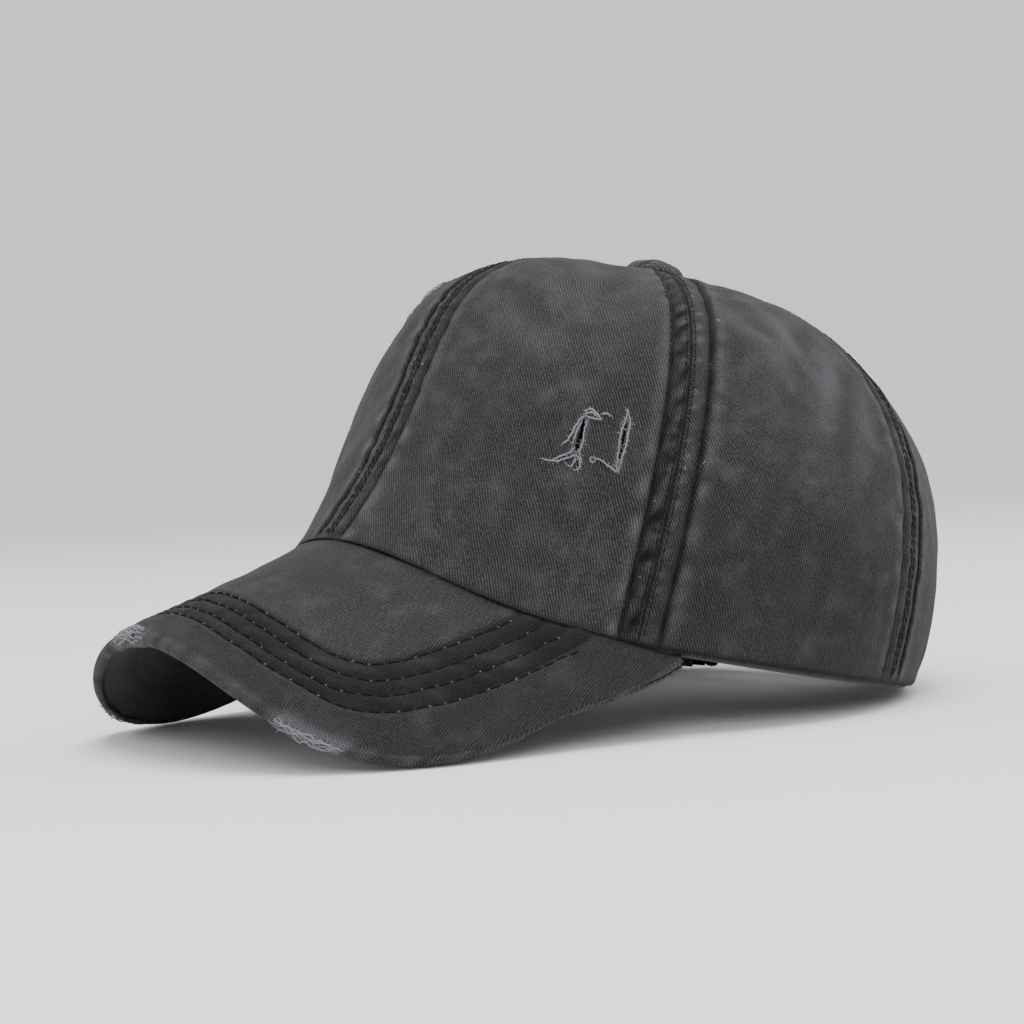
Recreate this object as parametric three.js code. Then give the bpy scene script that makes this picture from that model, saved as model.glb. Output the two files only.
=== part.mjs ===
// A washed six-panel baseball cap with an open back, three cross straps and a closing strap.
// Millimetres, +Z up, front towards -Y, wearer's left towards +X.
// The crown is drawn level with the head, then the whole cap is tilted to the way it lies on a table.
import * as THREE from "three";

// Rim of the crown, seen from above
const RIM = { side: 88.2, front: 112, back: 89.2 };
// How square the plan of the crown is, at the rim and at the top (2 is an ellipse)
const SQUARE = { rim: 1.99, top: 2.27, frontRim: 1.9, frontTop: 2.5 };
const CROWN_HEIGHT = 128;
const BUTTON_BACK_OFFSET = -9.7;
const CENTRE_DRIFT = 2.27;

// Crown profiles: lean of the wall from upright, how far it rises, how wide its shoulder is
const PROFILES = {
  front: { lean: -32.6, rise: 69.7, shoulder: 101.7 },
  side: { lean: 4.8, rise: 91.8, shoulder: 52.8 },
  back: { lean: 22.4, rise: 49, shoulder: 81.4 },
};

// Height of the rim: low at the sides, higher at the back, riding on the brim in front
const RIM_HEIGHT = { side: 9, back: 19.9, power: 2.2, blend: 13.2, brimReach: 56 };

// Seams between the panels, as azimuth from the front, and how far each bows at mid height
const FRONT_SEAM = { azimuth: 52.7, bow: 3.6 };
const BACK_SEAM = { azimuth: 110.7, bow: 2.6 };

// Relief beside a seam: a groove on the seam line, then a raised band over the turned-in cloth
const SEAM_RELIEF = [
  { from: 0, lift: -0.5 },
  { from: 1.5, lift: 0.1 },
  { from: 5.1, lift: 0.45 },
  { from: 7.1, lift: 0 },
];
const SEAM_BAND = 8;
const SEAM_GAP = 0.32;

// Soft dents and folds of the crown: place, depth and spread
const FOLDS = [
  { azimuth: 22, share: 0.9, depth: 1.6, wide: 15, high: 0.05 },
  { azimuth: -24, share: 0.88, depth: 1.2, wide: 14, high: 0.06 },
  { azimuth: 138, share: 0.78, depth: 1.4, wide: 7, high: 0.12 },
  { azimuth: 128, share: 0.62, depth: 0.9, wide: 6, high: 0.14 },
  { azimuth: -140, share: 0.76, depth: 1.4, wide: 7, high: 0.12 },
  { azimuth: -128, share: 0.6, depth: 0.9, wide: 6, high: 0.14 },
  { azimuth: 80, share: 0.1, depth: 1.2, wide: 9, high: 0.09 },
  { azimuth: -84, share: 0.12, depth: 1.2, wide: 10, high: 0.09 },
];

// Cloth thicknesses and the clearance kept between pieces
const WALL = 1.6;
const GAP = 0.4;
const JOINT_GAP = 0.8;

// Brim: a flat board bent over an arch and sloped down to the front
const BRIM = {
  jointHeight: 28,
  slope: 33.1,
  curl: 0.018,
  easing: 1.54e-7,
  halfWidth: 92.5,
  length: 63.5,
  cornerBack: -66.1,
  sidePower: 3.29,
  frontPower: 6,
  cornerEnd: 85,
  endAzimuth: 56,
  endOverhang: 1.2,
  fan: 2.2,
  endStretch: 1.6,
  endGap: 0.3,
};
const BRIM_COVER = 1.7;
const BRIM_UNDERSIDE = 1.6;

// Middle line of each binding along the back opening: share of the meridian, distance from the centre
const OPENING = [
  { share: 0, left: 44.5, right: 44.5 },
  { share: 0.09, left: 44.3, right: 47.6 },
  { share: 0.17, left: 43.6, right: 48 },
  { share: 0.26, left: 40.6, right: 41.6 },
  { share: 0.4, left: 37.4, right: 36.6 },
  { share: 0.53, left: 32.4, right: 31.2 },
  { share: 0.63, left: 24.8, right: 26.4 },
  { share: 0.71, left: 15.4, right: 19.4 },
  { share: 0.77, left: 7.8, right: 10.6 },
  { share: 0.82, left: 1.6, right: 4.2 },
  { share: 0.86, left: 0, right: 0.8 },
  { share: 0.9, left: 0, right: 0 },
];
const BINDING = { width: 4.4, thickness: 2.4, proud: 0.3, bulge: 0.5, top: 0.955, rightTop: 0.8 };
const BINDING_SINK = { from: 0.88, over: 0.06, depth: 0.6 };

// Cross straps: shares of the meridian at their lower and upper edges, in the middle and under the
// bindings, and how far they pull in flat
const STRAPS = [
  { name: "strap_lower", low: 0.253, high: 0.368, endLow: 0.208, endHigh: 0.32, flat: 3.2 },
  { name: "strap_middle", low: 0.482, high: 0.585, endLow: 0.424, endHigh: 0.54, flat: 2.6 },
  { name: "strap_upper", low: 0.667, high: 0.76, endLow: 0.625, endHigh: 0.73, flat: 1.6 },
];
const STRAP_THICKNESS = 1.4;
const CLOSURE = {
  low: 0.012,
  high: 0.15,
  endLow: 0.004,
  endHigh: 0.12,
  flat: 3,
  freeEnd: 0.93,
  hiddenEnd: 0.3,
};

const SWEATBAND = { height: 30, thickness: 1.2, clearance: 0.9, show: 1.1, frontDrop: 3.6 };
const BUTTON = { radius: 9, height: 5.6, lift: 0.75 };

// Tilt of the cap as it lies on its brim corners and the back of its rim
const REST_TILT = 13.9;

const CHARCOAL = 0x47484c;
const FADED = 0x55575c;
const OLIVE = 0x66685f;
const DARK_TAPE = 0x1d1d1f;

const radians = THREE.MathUtils.degToRad;
const clamp = THREE.MathUtils.clamp;
const bezier = (a, b, c, d, t) =>
  (1 - t) ** 3 * a + 3 * (1 - t) ** 2 * t * b + 3 * (1 - t) * t * t * c + t ** 3 * d;

function smooth(value) {
  const v = clamp(value, 0, 1);
  return v * v * (3 - 2 * v);
}

// Reads a column of a table whose rows are sorted by key, with smooth steps between the rows
function lookUp(rows, key, column, at) {
  if (at <= rows[0][key]) return rows[0][column];
  for (let i = 1; i < rows.length; i += 1) {
    const low = rows[i - 1];
    const high = rows[i];
    if (at > high[key]) continue;
    const before = rows[Math.max(i - 2, 0)];
    const after = rows[Math.min(i + 1, rows.length - 1)];
    const step = high[key] - low[key];
    const u = (at - low[key]) / step;
    const slopeLow = ((high[column] - before[column]) / (high[key] - before[key])) * step;
    const slopeHigh = ((after[column] - low[column]) / (after[key] - low[key])) * step;
    return (
      low[column] * (2 * u ** 3 - 3 * u ** 2 + 1) +
      slopeLow * (u ** 3 - 2 * u ** 2 + u) +
      high[column] * (3 * u ** 2 - 2 * u ** 3) +
      slopeHigh * (u ** 3 - u ** 2)
    );
  }
  return rows[rows.length - 1][column];
}

// Distance from the centre to a superellipse with its own front, back and side reach
function planRadius(azimuth, side, front, back, power, frontPower) {
  const c = Math.cos(azimuth);
  const along = c >= 0 ? front : back;
  const frontShare = c > 0 ? 1 - (1 - c) ** 2 : 0;
  const n = power + (frontPower - power) * frontShare;
  return (Math.abs(Math.sin(azimuth) / side) ** n + Math.abs(c / along) ** n) ** (-1 / n);
}

function rimPlan(azimuth) {
  const r = planRadius(azimuth, RIM.side, RIM.front, RIM.back, SQUARE.rim, SQUARE.frontRim);
  return { x: r * Math.sin(azimuth), y: -r * Math.cos(azimuth) };
}

const slope = radians(BRIM.slope);
const archDrop = (x) => (BRIM.curl * x * x) / 2 - (BRIM.easing * x ** 4) / 4;
const brimReach = (x, y) => (-RIM.front + archDrop(x) * Math.sin(slope) - y) / Math.cos(slope);

// Height of the bent board under a place in plan
function boardHeight(x, y) {
  return BRIM.jointHeight - brimReach(x, y) * Math.sin(slope) - archDrop(x) * Math.cos(slope);
}

function rimHeight(azimuth) {
  const turn = Math.abs(Math.atan2(Math.sin(azimuth), Math.cos(azimuth)));
  const onBrim = rimPlan(Math.min(turn, radians(RIM_HEIGHT.brimReach)));
  const board = boardHeight(onBrim.x, onBrim.y);
  const free =
    RIM_HEIGHT.side +
    (RIM_HEIGHT.back - RIM_HEIGHT.side) * ((1 - Math.cos(turn)) / 2) ** RIM_HEIGHT.power;
  const over = (board - free) / RIM_HEIGHT.blend;
  if (over >= 1) return board;
  return free + (RIM_HEIGHT.blend * (clamp(over, -1, 1) + 1) ** 2) / 4;
}

// Outer surface of the crown: azimuth from the front, share of the way from rim to button
function crownPoint(azimuth, share) {
  const c = Math.cos(azimuth);
  const reach = (profile, start, end) => {
    const lean = radians(profile.lean);
    return bezier(start, start + profile.rise * Math.sin(lean), end + profile.shoulder, end, share);
  };
  const front = reach(PROFILES.front, RIM.front, -BUTTON_BACK_OFFSET);
  const side = reach(PROFILES.side, RIM.side, 0);
  const back = reach(PROFILES.back, RIM.back, BUTTON_BACK_OFFSET);
  const centre = BUTTON_BACK_OFFSET * Math.max(share, 0) ** CENTRE_DRIFT;
  const end = c > 0 ? PROFILES.front : PROFILES.back;
  const upright = (profile) => profile.rise * Math.cos(radians(profile.lean));
  const rise = c * c * upright(end) + (1 - c * c) * upright(PROFILES.side);
  const low = rimHeight(azimuth);
  const z = bezier(low, low + rise, CROWN_HEIGHT, CROWN_HEIGHT, share);
  const power = SQUARE.rim + (SQUARE.top - SQUARE.rim) * share;
  const squared = SQUARE.frontRim + (SQUARE.frontTop - SQUARE.frontRim) * Math.min(share * 1.6, 1);
  const least = 0.001;
  const r = planRadius(
    azimuth,
    Math.max(side, least),
    Math.max(front + centre, least),
    Math.max(back - centre, least),
    power,
    squared,
  );
  return new THREE.Vector3(r * Math.sin(azimuth), centre - r * Math.cos(azimuth), z);
}

function crownNormal(azimuth, share) {
  const step = 0.004;
  const at = clamp(share, step, 1 - 3 * step);
  const across = crownPoint(azimuth + step, at).sub(crownPoint(azimuth - step, at));
  const upward = crownPoint(azimuth, at + step).sub(crownPoint(azimuth, at - step));
  return across.cross(upward).normalize();
}

// Direction from the outer to the inner face of the wall: flat along the brim at the rim
function inward(azimuth, share) {
  const step = 0.01;
  const here = rimPlan(azimuth);
  const ahead = rimPlan(azimuth + step);
  const flat = new THREE.Vector3(-(ahead.y - here.y), ahead.x - here.x, 0).normalize();
  const turn = Math.abs(Math.atan2(Math.sin(azimuth), Math.cos(azimuth)));
  const carried = 1 - smooth((turn - radians(44)) / radians(16));
  const rise = boardHeight(here.x + flat.x, here.y + flat.y) - boardHeight(here.x, here.y);
  flat.z = rise * carried;
  const blend = smooth(share / 0.07);
  return flat.multiplyScalar(1 - blend).addScaledVector(crownNormal(azimuth, share), -blend).normalize();
}

function foldLift(azimuth, share) {
  return FOLDS.reduce((sum, fold) => {
    const turn = azimuth - radians(fold.azimuth);
    const wrapped = Math.atan2(Math.sin(turn), Math.cos(turn)) / radians(fold.wide);
    const along = (share - fold.share) / fold.high;
    return sum - fold.depth * Math.exp(-wrapped * wrapped - along * along);
  }, 0);
}

// A point of the crown's wall, some way under its outer face
function wallPoint(azimuth, share, depth, lift = 0) {
  const point = crownPoint(azimuth, share);
  const edge = smooth(share / 0.05);
  const raise = (lift + foldLift(azimuth, share)) * edge;
  point.addScaledVector(crownNormal(azimuth, share), raise);
  return point.addScaledVector(inward(azimuth, share), depth);
}

// Azimuth on one side of the back centre where the surface is a given distance out
function backAzimuth(share, distance) {
  let azimuth = Math.PI;
  for (let i = 0; i < 6; i += 1) {
    const point = crownPoint(azimuth, share);
    const r = point.x / Math.sin(azimuth) || Math.abs(point.y - BUTTON_BACK_OFFSET * share ** CENTRE_DRIFT);
    azimuth = Math.PI - Math.asin(clamp(distance / Math.abs(r), -1, 1));
  }
  return azimuth;
}

// A closed shell between two grids of points, with its rim all round
function shell(outer, inner) {
  const rows = outer.length;
  const columns = outer[0].length;
  const positions = [];
  [outer, inner].forEach((grid) => grid.forEach((row) => row.forEach((p) => positions.push(p.x, p.y, p.z))));
  const far = rows * columns;
  const at = (i, j) => i * columns + j;
  const faces = [];
  const quad = (a, b, c, d) => faces.push([a, b, c], [a, c, d]);
  for (let i = 0; i + 1 < rows; i += 1) {
    for (let j = 0; j + 1 < columns; j += 1) {
      quad(at(i, j), at(i, j + 1), at(i + 1, j + 1), at(i + 1, j));
      quad(far + at(i, j), far + at(i + 1, j), far + at(i + 1, j + 1), far + at(i, j + 1));
    }
  }
  const border = [];
  for (let j = 0; j + 1 < columns; j += 1) border.push(at(0, j));
  for (let i = 0; i + 1 < rows; i += 1) border.push(at(i, columns - 1));
  for (let j = columns - 1; j > 0; j -= 1) border.push(at(rows - 1, j));
  for (let i = rows - 1; i > 0; i -= 1) border.push(at(i, 0));
  border.forEach((a, k) => {
    const b = border[(k + 1) % border.length];
    quad(b, a, far + a, far + b);
  });
  const corner = (i) => new THREE.Vector3(...positions.slice(3 * i, 3 * i + 3));
  const volume = faces.reduce((sum, [a, b, c]) => sum + corner(a).dot(corner(b).cross(corner(c))), 0);
  const outward = volume > 0 ? faces : faces.map(([a, b, c]) => [a, c, b]);
  const geometry = new THREE.BufferGeometry();
  geometry.setAttribute("position", new THREE.Float32BufferAttribute(positions, 3));
  geometry.setIndex(outward.flat());
  geometry.computeVertexNormals();
  return geometry;
}

function grid(rows, columns, pointAt) {
  const share = (k, count) => k / (count - 1);
  return Array.from({ length: rows }, (_, i) =>
    Array.from({ length: columns }, (_unused, j) => pointAt(share(i, rows), share(j, columns))),
  );
}

const cap = new THREE.Group();
const tilted = new THREE.Group();
cap.add(tilted);

function addPiece(name, geometry, color, roughness = 0.95) {
  const piece = new THREE.Mesh(geometry, new THREE.MeshStandardMaterial({ color, roughness, metalness: 0 }));
  piece.name = name;
  tilted.add(piece);
}

const seamAt = (seam, share) => radians(seam.azimuth + seam.bow * 4 * share * (1 - share));

// Lateral distance that keeps a given clearance square to a slanting edge line
function slanted(column, share, clearance) {
  const step = 0.01;
  const run = lookUp(OPENING, "share", column, share + step) - lookUp(OPENING, "share", column, share - step);
  const climb = crownPoint(Math.PI, share + step).distanceTo(crownPoint(Math.PI, Math.max(share - step, 0)));
  return clearance * Math.hypot(1, run / climb);
}

function openingEdge(column, share) {
  const clearance = BINDING.width / 2 + GAP;
  const middle = Math.max(lookUp(OPENING, "share", column, share), 0);
  return backAzimuth(share, middle + slanted(column, share, clearance));
}

const PANEL_TOP = 0.97;
const PANEL_ROWS = 14;
const BACK_PANEL_ROWS = 23;
const PANEL_MIDDLE = 6;

// Shares of the panel's rows, closer together at the rim
function panelShare(row) {
  return PANEL_TOP * (0.35 * row * row + 0.65 * row);
}

// Columns of a panel: close together over each seam band, even in between
function panelColumns(width) {
  const squeeze = Math.min(1, width / (3.2 * SEAM_BAND));
  const near = SEAM_RELIEF.map((step) => ({
    at: SEAM_GAP + step.from * squeeze,
    lift: step.lift * squeeze,
  }));
  const last = near[near.length - 1].at;
  const inside = Array.from({ length: PANEL_MIDDLE }, (_, i) => (i + 1) / (PANEL_MIDDLE + 1));
  const middle = inside.map((share) => ({ at: last + (width - 2 * last) * share, lift: 0 }));
  const mirrored = [...near].reverse().map((step) => ({ at: width - step.at, lift: step.lift }));
  return [...near, ...middle, ...mirrored];
}

// One crown panel between two edge lines, each given as azimuth at a share of the meridian
function panel(fromEdge, toEdge, count = PANEL_ROWS) {
  const rows = Array.from({ length: count }, (_, i) => panelShare(i / (count - 1)));
  const make = (depth) =>
    rows.map((share) => {
      const a = fromEdge(share);
      const b = toEdge(share);
      const middle = crownPoint((a + b) / 2, share);
      const centre = new THREE.Vector3(0, BUTTON_BACK_OFFSET * share ** CENTRE_DRIFT, middle.z);
      const width = Math.abs(b - a) * middle.distanceTo(centre);
      return panelColumns(width).map((column) =>
        wallPoint(a + ((b - a) * column.at) / width, share, depth, column.lift),
      );
    });
  return shell(make(0), make(WALL));
}

const centreFront = () => 0;
const frontLeft = (share) => seamAt(FRONT_SEAM, share);
const backLeft = (share) => seamAt(BACK_SEAM, share);
const openLeft = (share) => openingEdge("left", share);
const mirror = (edge) => (share) => -edge(share);
const openRight = (share) => -openingEdge("right", share);

addPiece("panel_front_left", panel(centreFront, frontLeft), CHARCOAL);
addPiece("panel_front_right", panel(centreFront, mirror(frontLeft)), CHARCOAL);
addPiece("panel_side_left", panel(frontLeft, backLeft), CHARCOAL);
addPiece("panel_side_right", panel(mirror(frontLeft), mirror(backLeft)), CHARCOAL);
addPiece("panel_back_left", panel(backLeft, openLeft, BACK_PANEL_ROWS), CHARCOAL);
addPiece("panel_back_right", panel(mirror(backLeft), openRight, BACK_PANEL_ROWS), CHARCOAL);

// A ribbon along one edge of the back opening: rounded across, thicker than the wall
function binding(column, side, top) {
  const steps = 22;
  const across = [-0.5, -0.2, 0.2, 0.5];
  const line = (share) => {
    const distance = lookUp(OPENING, "share", column, share);
    return crownPoint(side * backAzimuth(share, distance), share);
  };
  const make = (height, crowned) =>
    Array.from({ length: steps + 1 }, (_, i) => {
      const share = (top * i) / steps;
      const distance = lookUp(OPENING, "share", column, share);
      const normal = crownNormal(side * backAzimuth(share, distance), share);
      const along = line(share + 0.01).sub(line(Math.max(share - 0.01, 0))).normalize();
      const sideways = along.clone().cross(normal).normalize();
      const sink = BINDING_SINK.depth * smooth((share - BINDING_SINK.from) / BINDING_SINK.over);
      return across.map((a) => {
        const bulge = crowned * (1 - 4 * a * a) * BINDING.bulge;
        return line(share)
          .addScaledVector(sideways, a * BINDING.width)
          .addScaledVector(normal, height + bulge - sink);
      });
    });
  return shell(make(BINDING.proud, 1), make(BINDING.proud + BINDING.bulge - BINDING.thickness, -0.5));
}
addPiece("opening_binding_left", binding("left", 1, BINDING.top), FADED);
addPiece("opening_binding_right", binding("right", -1, BINDING.rightTop), FADED);

// A cross strap's edge line: an arc between the two bindings that is flatter than the crown
function strapLine(share, endShare, flat, leftDepth, rightDepth) {
  const ends = [1, -1].map((side) => {
    const distance = lookUp(OPENING, "share", side > 0 ? "left" : "right", endShare);
    const depth = side > 0 ? leftDepth : rightDepth;
    return wallPoint(side * backAzimuth(endShare, distance + 0.8), endShare, depth);
  });
  const middle = wallPoint(Math.PI, share, flat + (leftDepth + rightDepth) / 2);
  const control = middle.multiplyScalar(2).addScaledVector(ends[0], -0.5).addScaledVector(ends[1], -0.5);
  return new THREE.QuadraticBezierCurve3(ends[0], control, ends[1]);
}

function strap(row, leftDepth, rightDepth, from = 0, to = 1) {
  const across = 4;
  const between = (low, high, k) => low + ((high - low) * k) / across;
  const lines = Array.from({ length: across + 1 }, (_, k) =>
    strapLine(
      between(row.low, row.high, k),
      between(row.endLow, row.endHigh, k),
      row.flat,
      leftDepth,
      rightDepth,
    ),
  );
  const outer = grid(15, across + 1, (u, v) => {
    const at = from + (to - from) * u;
    const crown = 0.5 * (1 - (2 * v - 1) ** 2);
    return lines[Math.round(v * across)].getPoint(at).addScaledVector(strapNormal(lines, at), crown);
  });
  const inner = outer.map((line, i) =>
    line.map((p) => p.clone().addScaledVector(strapNormal(lines, from + ((to - from) * i) / 14), -STRAP_THICKNESS)),
  );
  return shell(outer, inner);
}

function strapNormal(lines, at) {
  const upward = lines[lines.length - 1].getPoint(at).sub(lines[0].getPoint(at));
  return lines[1].getTangent(at).cross(upward).normalize();
}

const UNDER_BINDING = BINDING.thickness + GAP;
STRAPS.forEach((row) => addPiece(row.name, strap(row, UNDER_BINDING, UNDER_BINDING), CHARCOAL));

// The closing strap starts under the left binding, its free end lies on the strap from the right
const tapeDepth = UNDER_BINDING + STRAP_THICKNESS + GAP + 0.1;
addPiece("closure_strap", strap(CLOSURE, UNDER_BINDING, UNDER_BINDING, 0, CLOSURE.freeEnd), CHARCOAL);
addPiece("closure_understrap", strap(CLOSURE, tapeDepth, tapeDepth, CLOSURE.hiddenEnd, 1), DARK_TAPE);

// Outline of the brim's outer edge on the flat board: place across and reach forward
function brimEdge(turn) {
  const across = BRIM.halfWidth * Math.sin(turn) ** (2 / BRIM.sidePower);
  const span = BRIM.length - BRIM.cornerBack;
  const reach = BRIM.cornerBack + span * Math.cos(turn) ** (2 / BRIM.frontPower);
  let x = across;
  for (let i = 0; i < 6; i += 1) {
    const tangent = BRIM.curl * x - BRIM.easing * x ** 3;
    x += across - x * (1 + (tangent * tangent) / 6);
  }
  return new THREE.Vector2(x, reach);
}

// Half of the outline walked from the front centre round the corner to the joint's end
function walkOutline() {
  const steps = 300;
  const points = Array.from({ length: steps + 1 }, (_, i) => {
    return brimEdge(radians(BRIM.cornerEnd) * (i / steps) ** 1.6);
  });
  const end = rimPlan(radians(BRIM.endAzimuth));
  points.push(new THREE.Vector2(end.x + BRIM.endOverhang, brimReach(end.x, end.y)));
  const walked = [0];
  points.slice(1).forEach((point, i) => walked.push(walked[i] + point.distanceTo(points[i])));
  return { points, walked };
}
const OUTLINE = walkOutline();
const CORNER_WALKED = OUTLINE.walked[OUTLINE.walked.length - 2];

// A place on the outline at a share of its length, and how far it is past the corner's end
function outlineAt(share) {
  const { points, walked } = OUTLINE;
  const length = walked[walked.length - 1];
  const target = share * length;
  const i = Math.min(walked.findIndex((w, k) => k > 0 && w >= target - 1e-9), points.length - 1);
  const u = (target - walked[i - 1]) / (walked[i] - walked[i - 1]);
  const place = points[i - 1].clone().lerp(points[i], clamp(u, 0, 1));
  return { place, past: clamp((target - CORNER_WALKED) / (length - CORNER_WALKED), 0, 1) };
}

// A point of the brim's top: along from side to side (-1 to 1), out from joint to edge (0 to 1)
function brimTop(along, out) {
  const half = Math.abs(along);
  const side = along < 0 ? -1 : 1;
  const azimuth = radians(BRIM.endAzimuth) * (1 - (1 - half) ** BRIM.fan);
  const inset = wallPoint(azimuth, 0, WALL);
  const end = rimPlan(radians(BRIM.endAzimuth));
  const endLift = rimHeight(radians(BRIM.endAzimuth)) - boardHeight(end.x, end.y);
  const innerLift = inset.z - JOINT_GAP - boardHeight(inset.x, inset.y);
  const { place, past } = outlineAt(half);
  const outerLift = (endLift - JOINT_GAP) * past * past;
  const x = inset.x + (place.x - inset.x) * out;
  const innerReach = brimReach(inset.x, inset.y);
  const reach = innerReach + (place.y - innerReach) * out;
  const lift = innerLift + (outerLift - innerLift) * out;
  const drop = archDrop(x);
  return new THREE.Vector3(
    side * x,
    -RIM.front - reach * Math.cos(slope) + drop * Math.sin(slope),
    BRIM.jointHeight - reach * Math.sin(slope) - drop * Math.cos(slope) + lift,
  );
}

function brimNormal(along, out) {
  const step = 0.01;
  const a = clamp(along, step - 1, 1 - step);
  const o = clamp(out, step, 1 - step);
  const across = brimTop(a + step, o).sub(brimTop(a - step, o));
  const outward = brimTop(a, o + step).sub(brimTop(a, o - step));
  return outward.cross(across).normalize();
}

// A layer of the brim between two depths, straight down at the joint and square to the board outside
function brimLayer(top, bottom, endGap = 0) {
  const make = (depth) =>
    grid(37, 7, (u, v) => {
      const along = 2 * u - 1;
      const out = 1 - (1 - v) ** 1.3;
      const point = brimTop(along, out);
      const square = brimNormal(along, out);
      const blend = smooth(out / 0.25) * (1 - smooth((Math.abs(along) - 0.86) / 0.12));
      const down = new THREE.Vector3(0, 0, 1).lerp(square, blend).normalize();
      const stretch = Math.min(1 / down.dot(square), BRIM.endStretch);
      const apart = endGap * smooth((Math.abs(along) - 0.8) / 0.12);
      return point.addScaledVector(down, -depth * stretch - apart);
    });
  return shell(make(top), make(bottom));
}
addPiece("brim_cover", brimLayer(0, BRIM_COVER), CHARCOAL);
const undersideTop = BRIM_COVER + GAP;
addPiece("brim_underside", brimLayer(undersideTop, undersideTop + BRIM_UNDERSIDE, BRIM.endGap), OLIVE);

// Share of the meridian at which a given length up from the rim is reached
function shareAtLength(azimuth, length) {
  const start = crownPoint(azimuth, 0);
  let share = 0;
  let walked = 0;
  while (walked < length) {
    share += 0.004;
    const next = crownPoint(azimuth, share);
    walked += next.distanceTo(start);
    start.copy(next);
  }
  return share;
}

// The sweatband lines the rim from one side of the back opening round the front to the other
function sweatband() {
  const columns = 49;
  const from = -openingEdge("right", 0.05) + 0.02;
  const to = openingEdge("left", 0.05) - 0.02;
  const depth = WALL + SWEATBAND.clearance;
  const make = (inset) =>
    grid(columns, 5, (u, v) => {
      const azimuth = from + (to - from) * u;
      const share = shareAtLength(azimuth, SWEATBAND.height) * v;
      const front = 1 - smooth((Math.abs(azimuth) - radians(40)) / radians(22));
      const drop = v === 0 ? SWEATBAND.show + (SWEATBAND.frontDrop - SWEATBAND.show) * front : 0;
      return wallPoint(azimuth, share, depth + inset).sub(new THREE.Vector3(0, 0, drop));
    });
  return shell(make(0), make(SWEATBAND.thickness));
}
addPiece("sweatband", sweatband(), OLIVE);

// Cloth-covered button on the top of the crown
function button() {
  const { radius, height } = BUTTON;
  const profile = [new THREE.Vector2(0, 0), new THREE.Vector2(radius * 0.9, 0)];
  const steps = 7;
  for (let i = 0; i < steps; i += 1) {
    const turn = radians((90 * i) / steps);
    profile.push(new THREE.Vector2(radius * Math.cos(turn) ** 0.75, 0.6 + (height - 0.6) * Math.sin(turn)));
  }
  profile.push(new THREE.Vector2(0, height));
  const geometry = new THREE.LatheGeometry(profile, 28);
  geometry.rotateX(Math.PI / 2);
  geometry.translate(0, BUTTON_BACK_OFFSET, CROWN_HEIGHT + BUTTON.lift);
  return geometry;
}
addPiece("top_button", button(), FADED);

tilted.rotation.x = -radians(REST_TILT);
cap.updateMatrixWorld(true);
const box = new THREE.Box3().setFromObject(cap, true);
cap.position.set(-(box.min.x + box.max.x) / 2, -(box.min.y + box.max.y) / 2, -box.min.z);
cap.updateMatrixWorld(true);

export default cap;
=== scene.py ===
"""Looks of a washed, frayed six-panel cap with an open back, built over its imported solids.

Level millimetres are turned to the way the cap lies and to metres by at_rest().
"""

import math

import bmesh
import bpy
import numpy as np
from mathutils import Matrix, Vector
from mathutils.bvhtree import BVHTree


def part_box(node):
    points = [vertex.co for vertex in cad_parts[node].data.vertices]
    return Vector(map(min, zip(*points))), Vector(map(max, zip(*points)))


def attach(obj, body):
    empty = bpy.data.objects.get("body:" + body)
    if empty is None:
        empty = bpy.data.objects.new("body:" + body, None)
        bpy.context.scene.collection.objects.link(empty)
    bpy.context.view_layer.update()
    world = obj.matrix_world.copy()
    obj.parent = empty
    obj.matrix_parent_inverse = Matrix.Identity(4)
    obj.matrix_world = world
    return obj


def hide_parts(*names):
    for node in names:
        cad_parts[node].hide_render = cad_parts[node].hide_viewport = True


bl_info = {
    "name": "Washed ponytail cap",
    "version": (1, 0, 0),
    "blender": (4, 5, 0),
    "location": "3D View > Sidebar > Cap",
    "description": "Dresses the solids of a washed cap in twill, stitches and frayed threads",
    "category": "Add Mesh",
}

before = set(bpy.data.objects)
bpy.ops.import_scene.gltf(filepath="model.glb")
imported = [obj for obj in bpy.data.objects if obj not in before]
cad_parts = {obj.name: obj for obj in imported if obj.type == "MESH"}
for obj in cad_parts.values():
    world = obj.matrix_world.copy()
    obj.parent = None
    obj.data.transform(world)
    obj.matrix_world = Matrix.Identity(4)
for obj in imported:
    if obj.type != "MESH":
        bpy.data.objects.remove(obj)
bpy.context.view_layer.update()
MM = 0.001

# Rim of the crown, seen from above, in millimetres
RIM = {"side": 88.2, "front": 112.0, "back": 89.2}
# How square the plan of the crown is, at the rim and at the top (2 is an ellipse)
SQUARE = {"rim": 1.99, "top": 2.27, "front_rim": 1.9, "front_top": 2.5}
CROWN_HEIGHT = 128.0
BUTTON_BACK_OFFSET = -9.7
CENTRE_DRIFT = 2.27

# Crown profiles: lean of the wall from upright, how far it rises, how wide its shoulder is
PROFILES = {
    "front": {"lean": -32.6, "rise": 69.7, "shoulder": 101.7},
    "side": {"lean": 4.8, "rise": 91.8, "shoulder": 52.8},
    "back": {"lean": 22.4, "rise": 49.0, "shoulder": 81.4},
}
RIM_HEIGHT = {"side": 9.0, "back": 19.9, "power": 2.2, "blend": 13.2, "brim_reach": 56.0}
FRONT_SEAM = {"azimuth": 52.7, "bow": 3.6}
BACK_SEAM = {"azimuth": 110.7, "bow": 2.6}
CENTRE_SEAM = {"azimuth": 0.0, "bow": 0.0}

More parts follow.
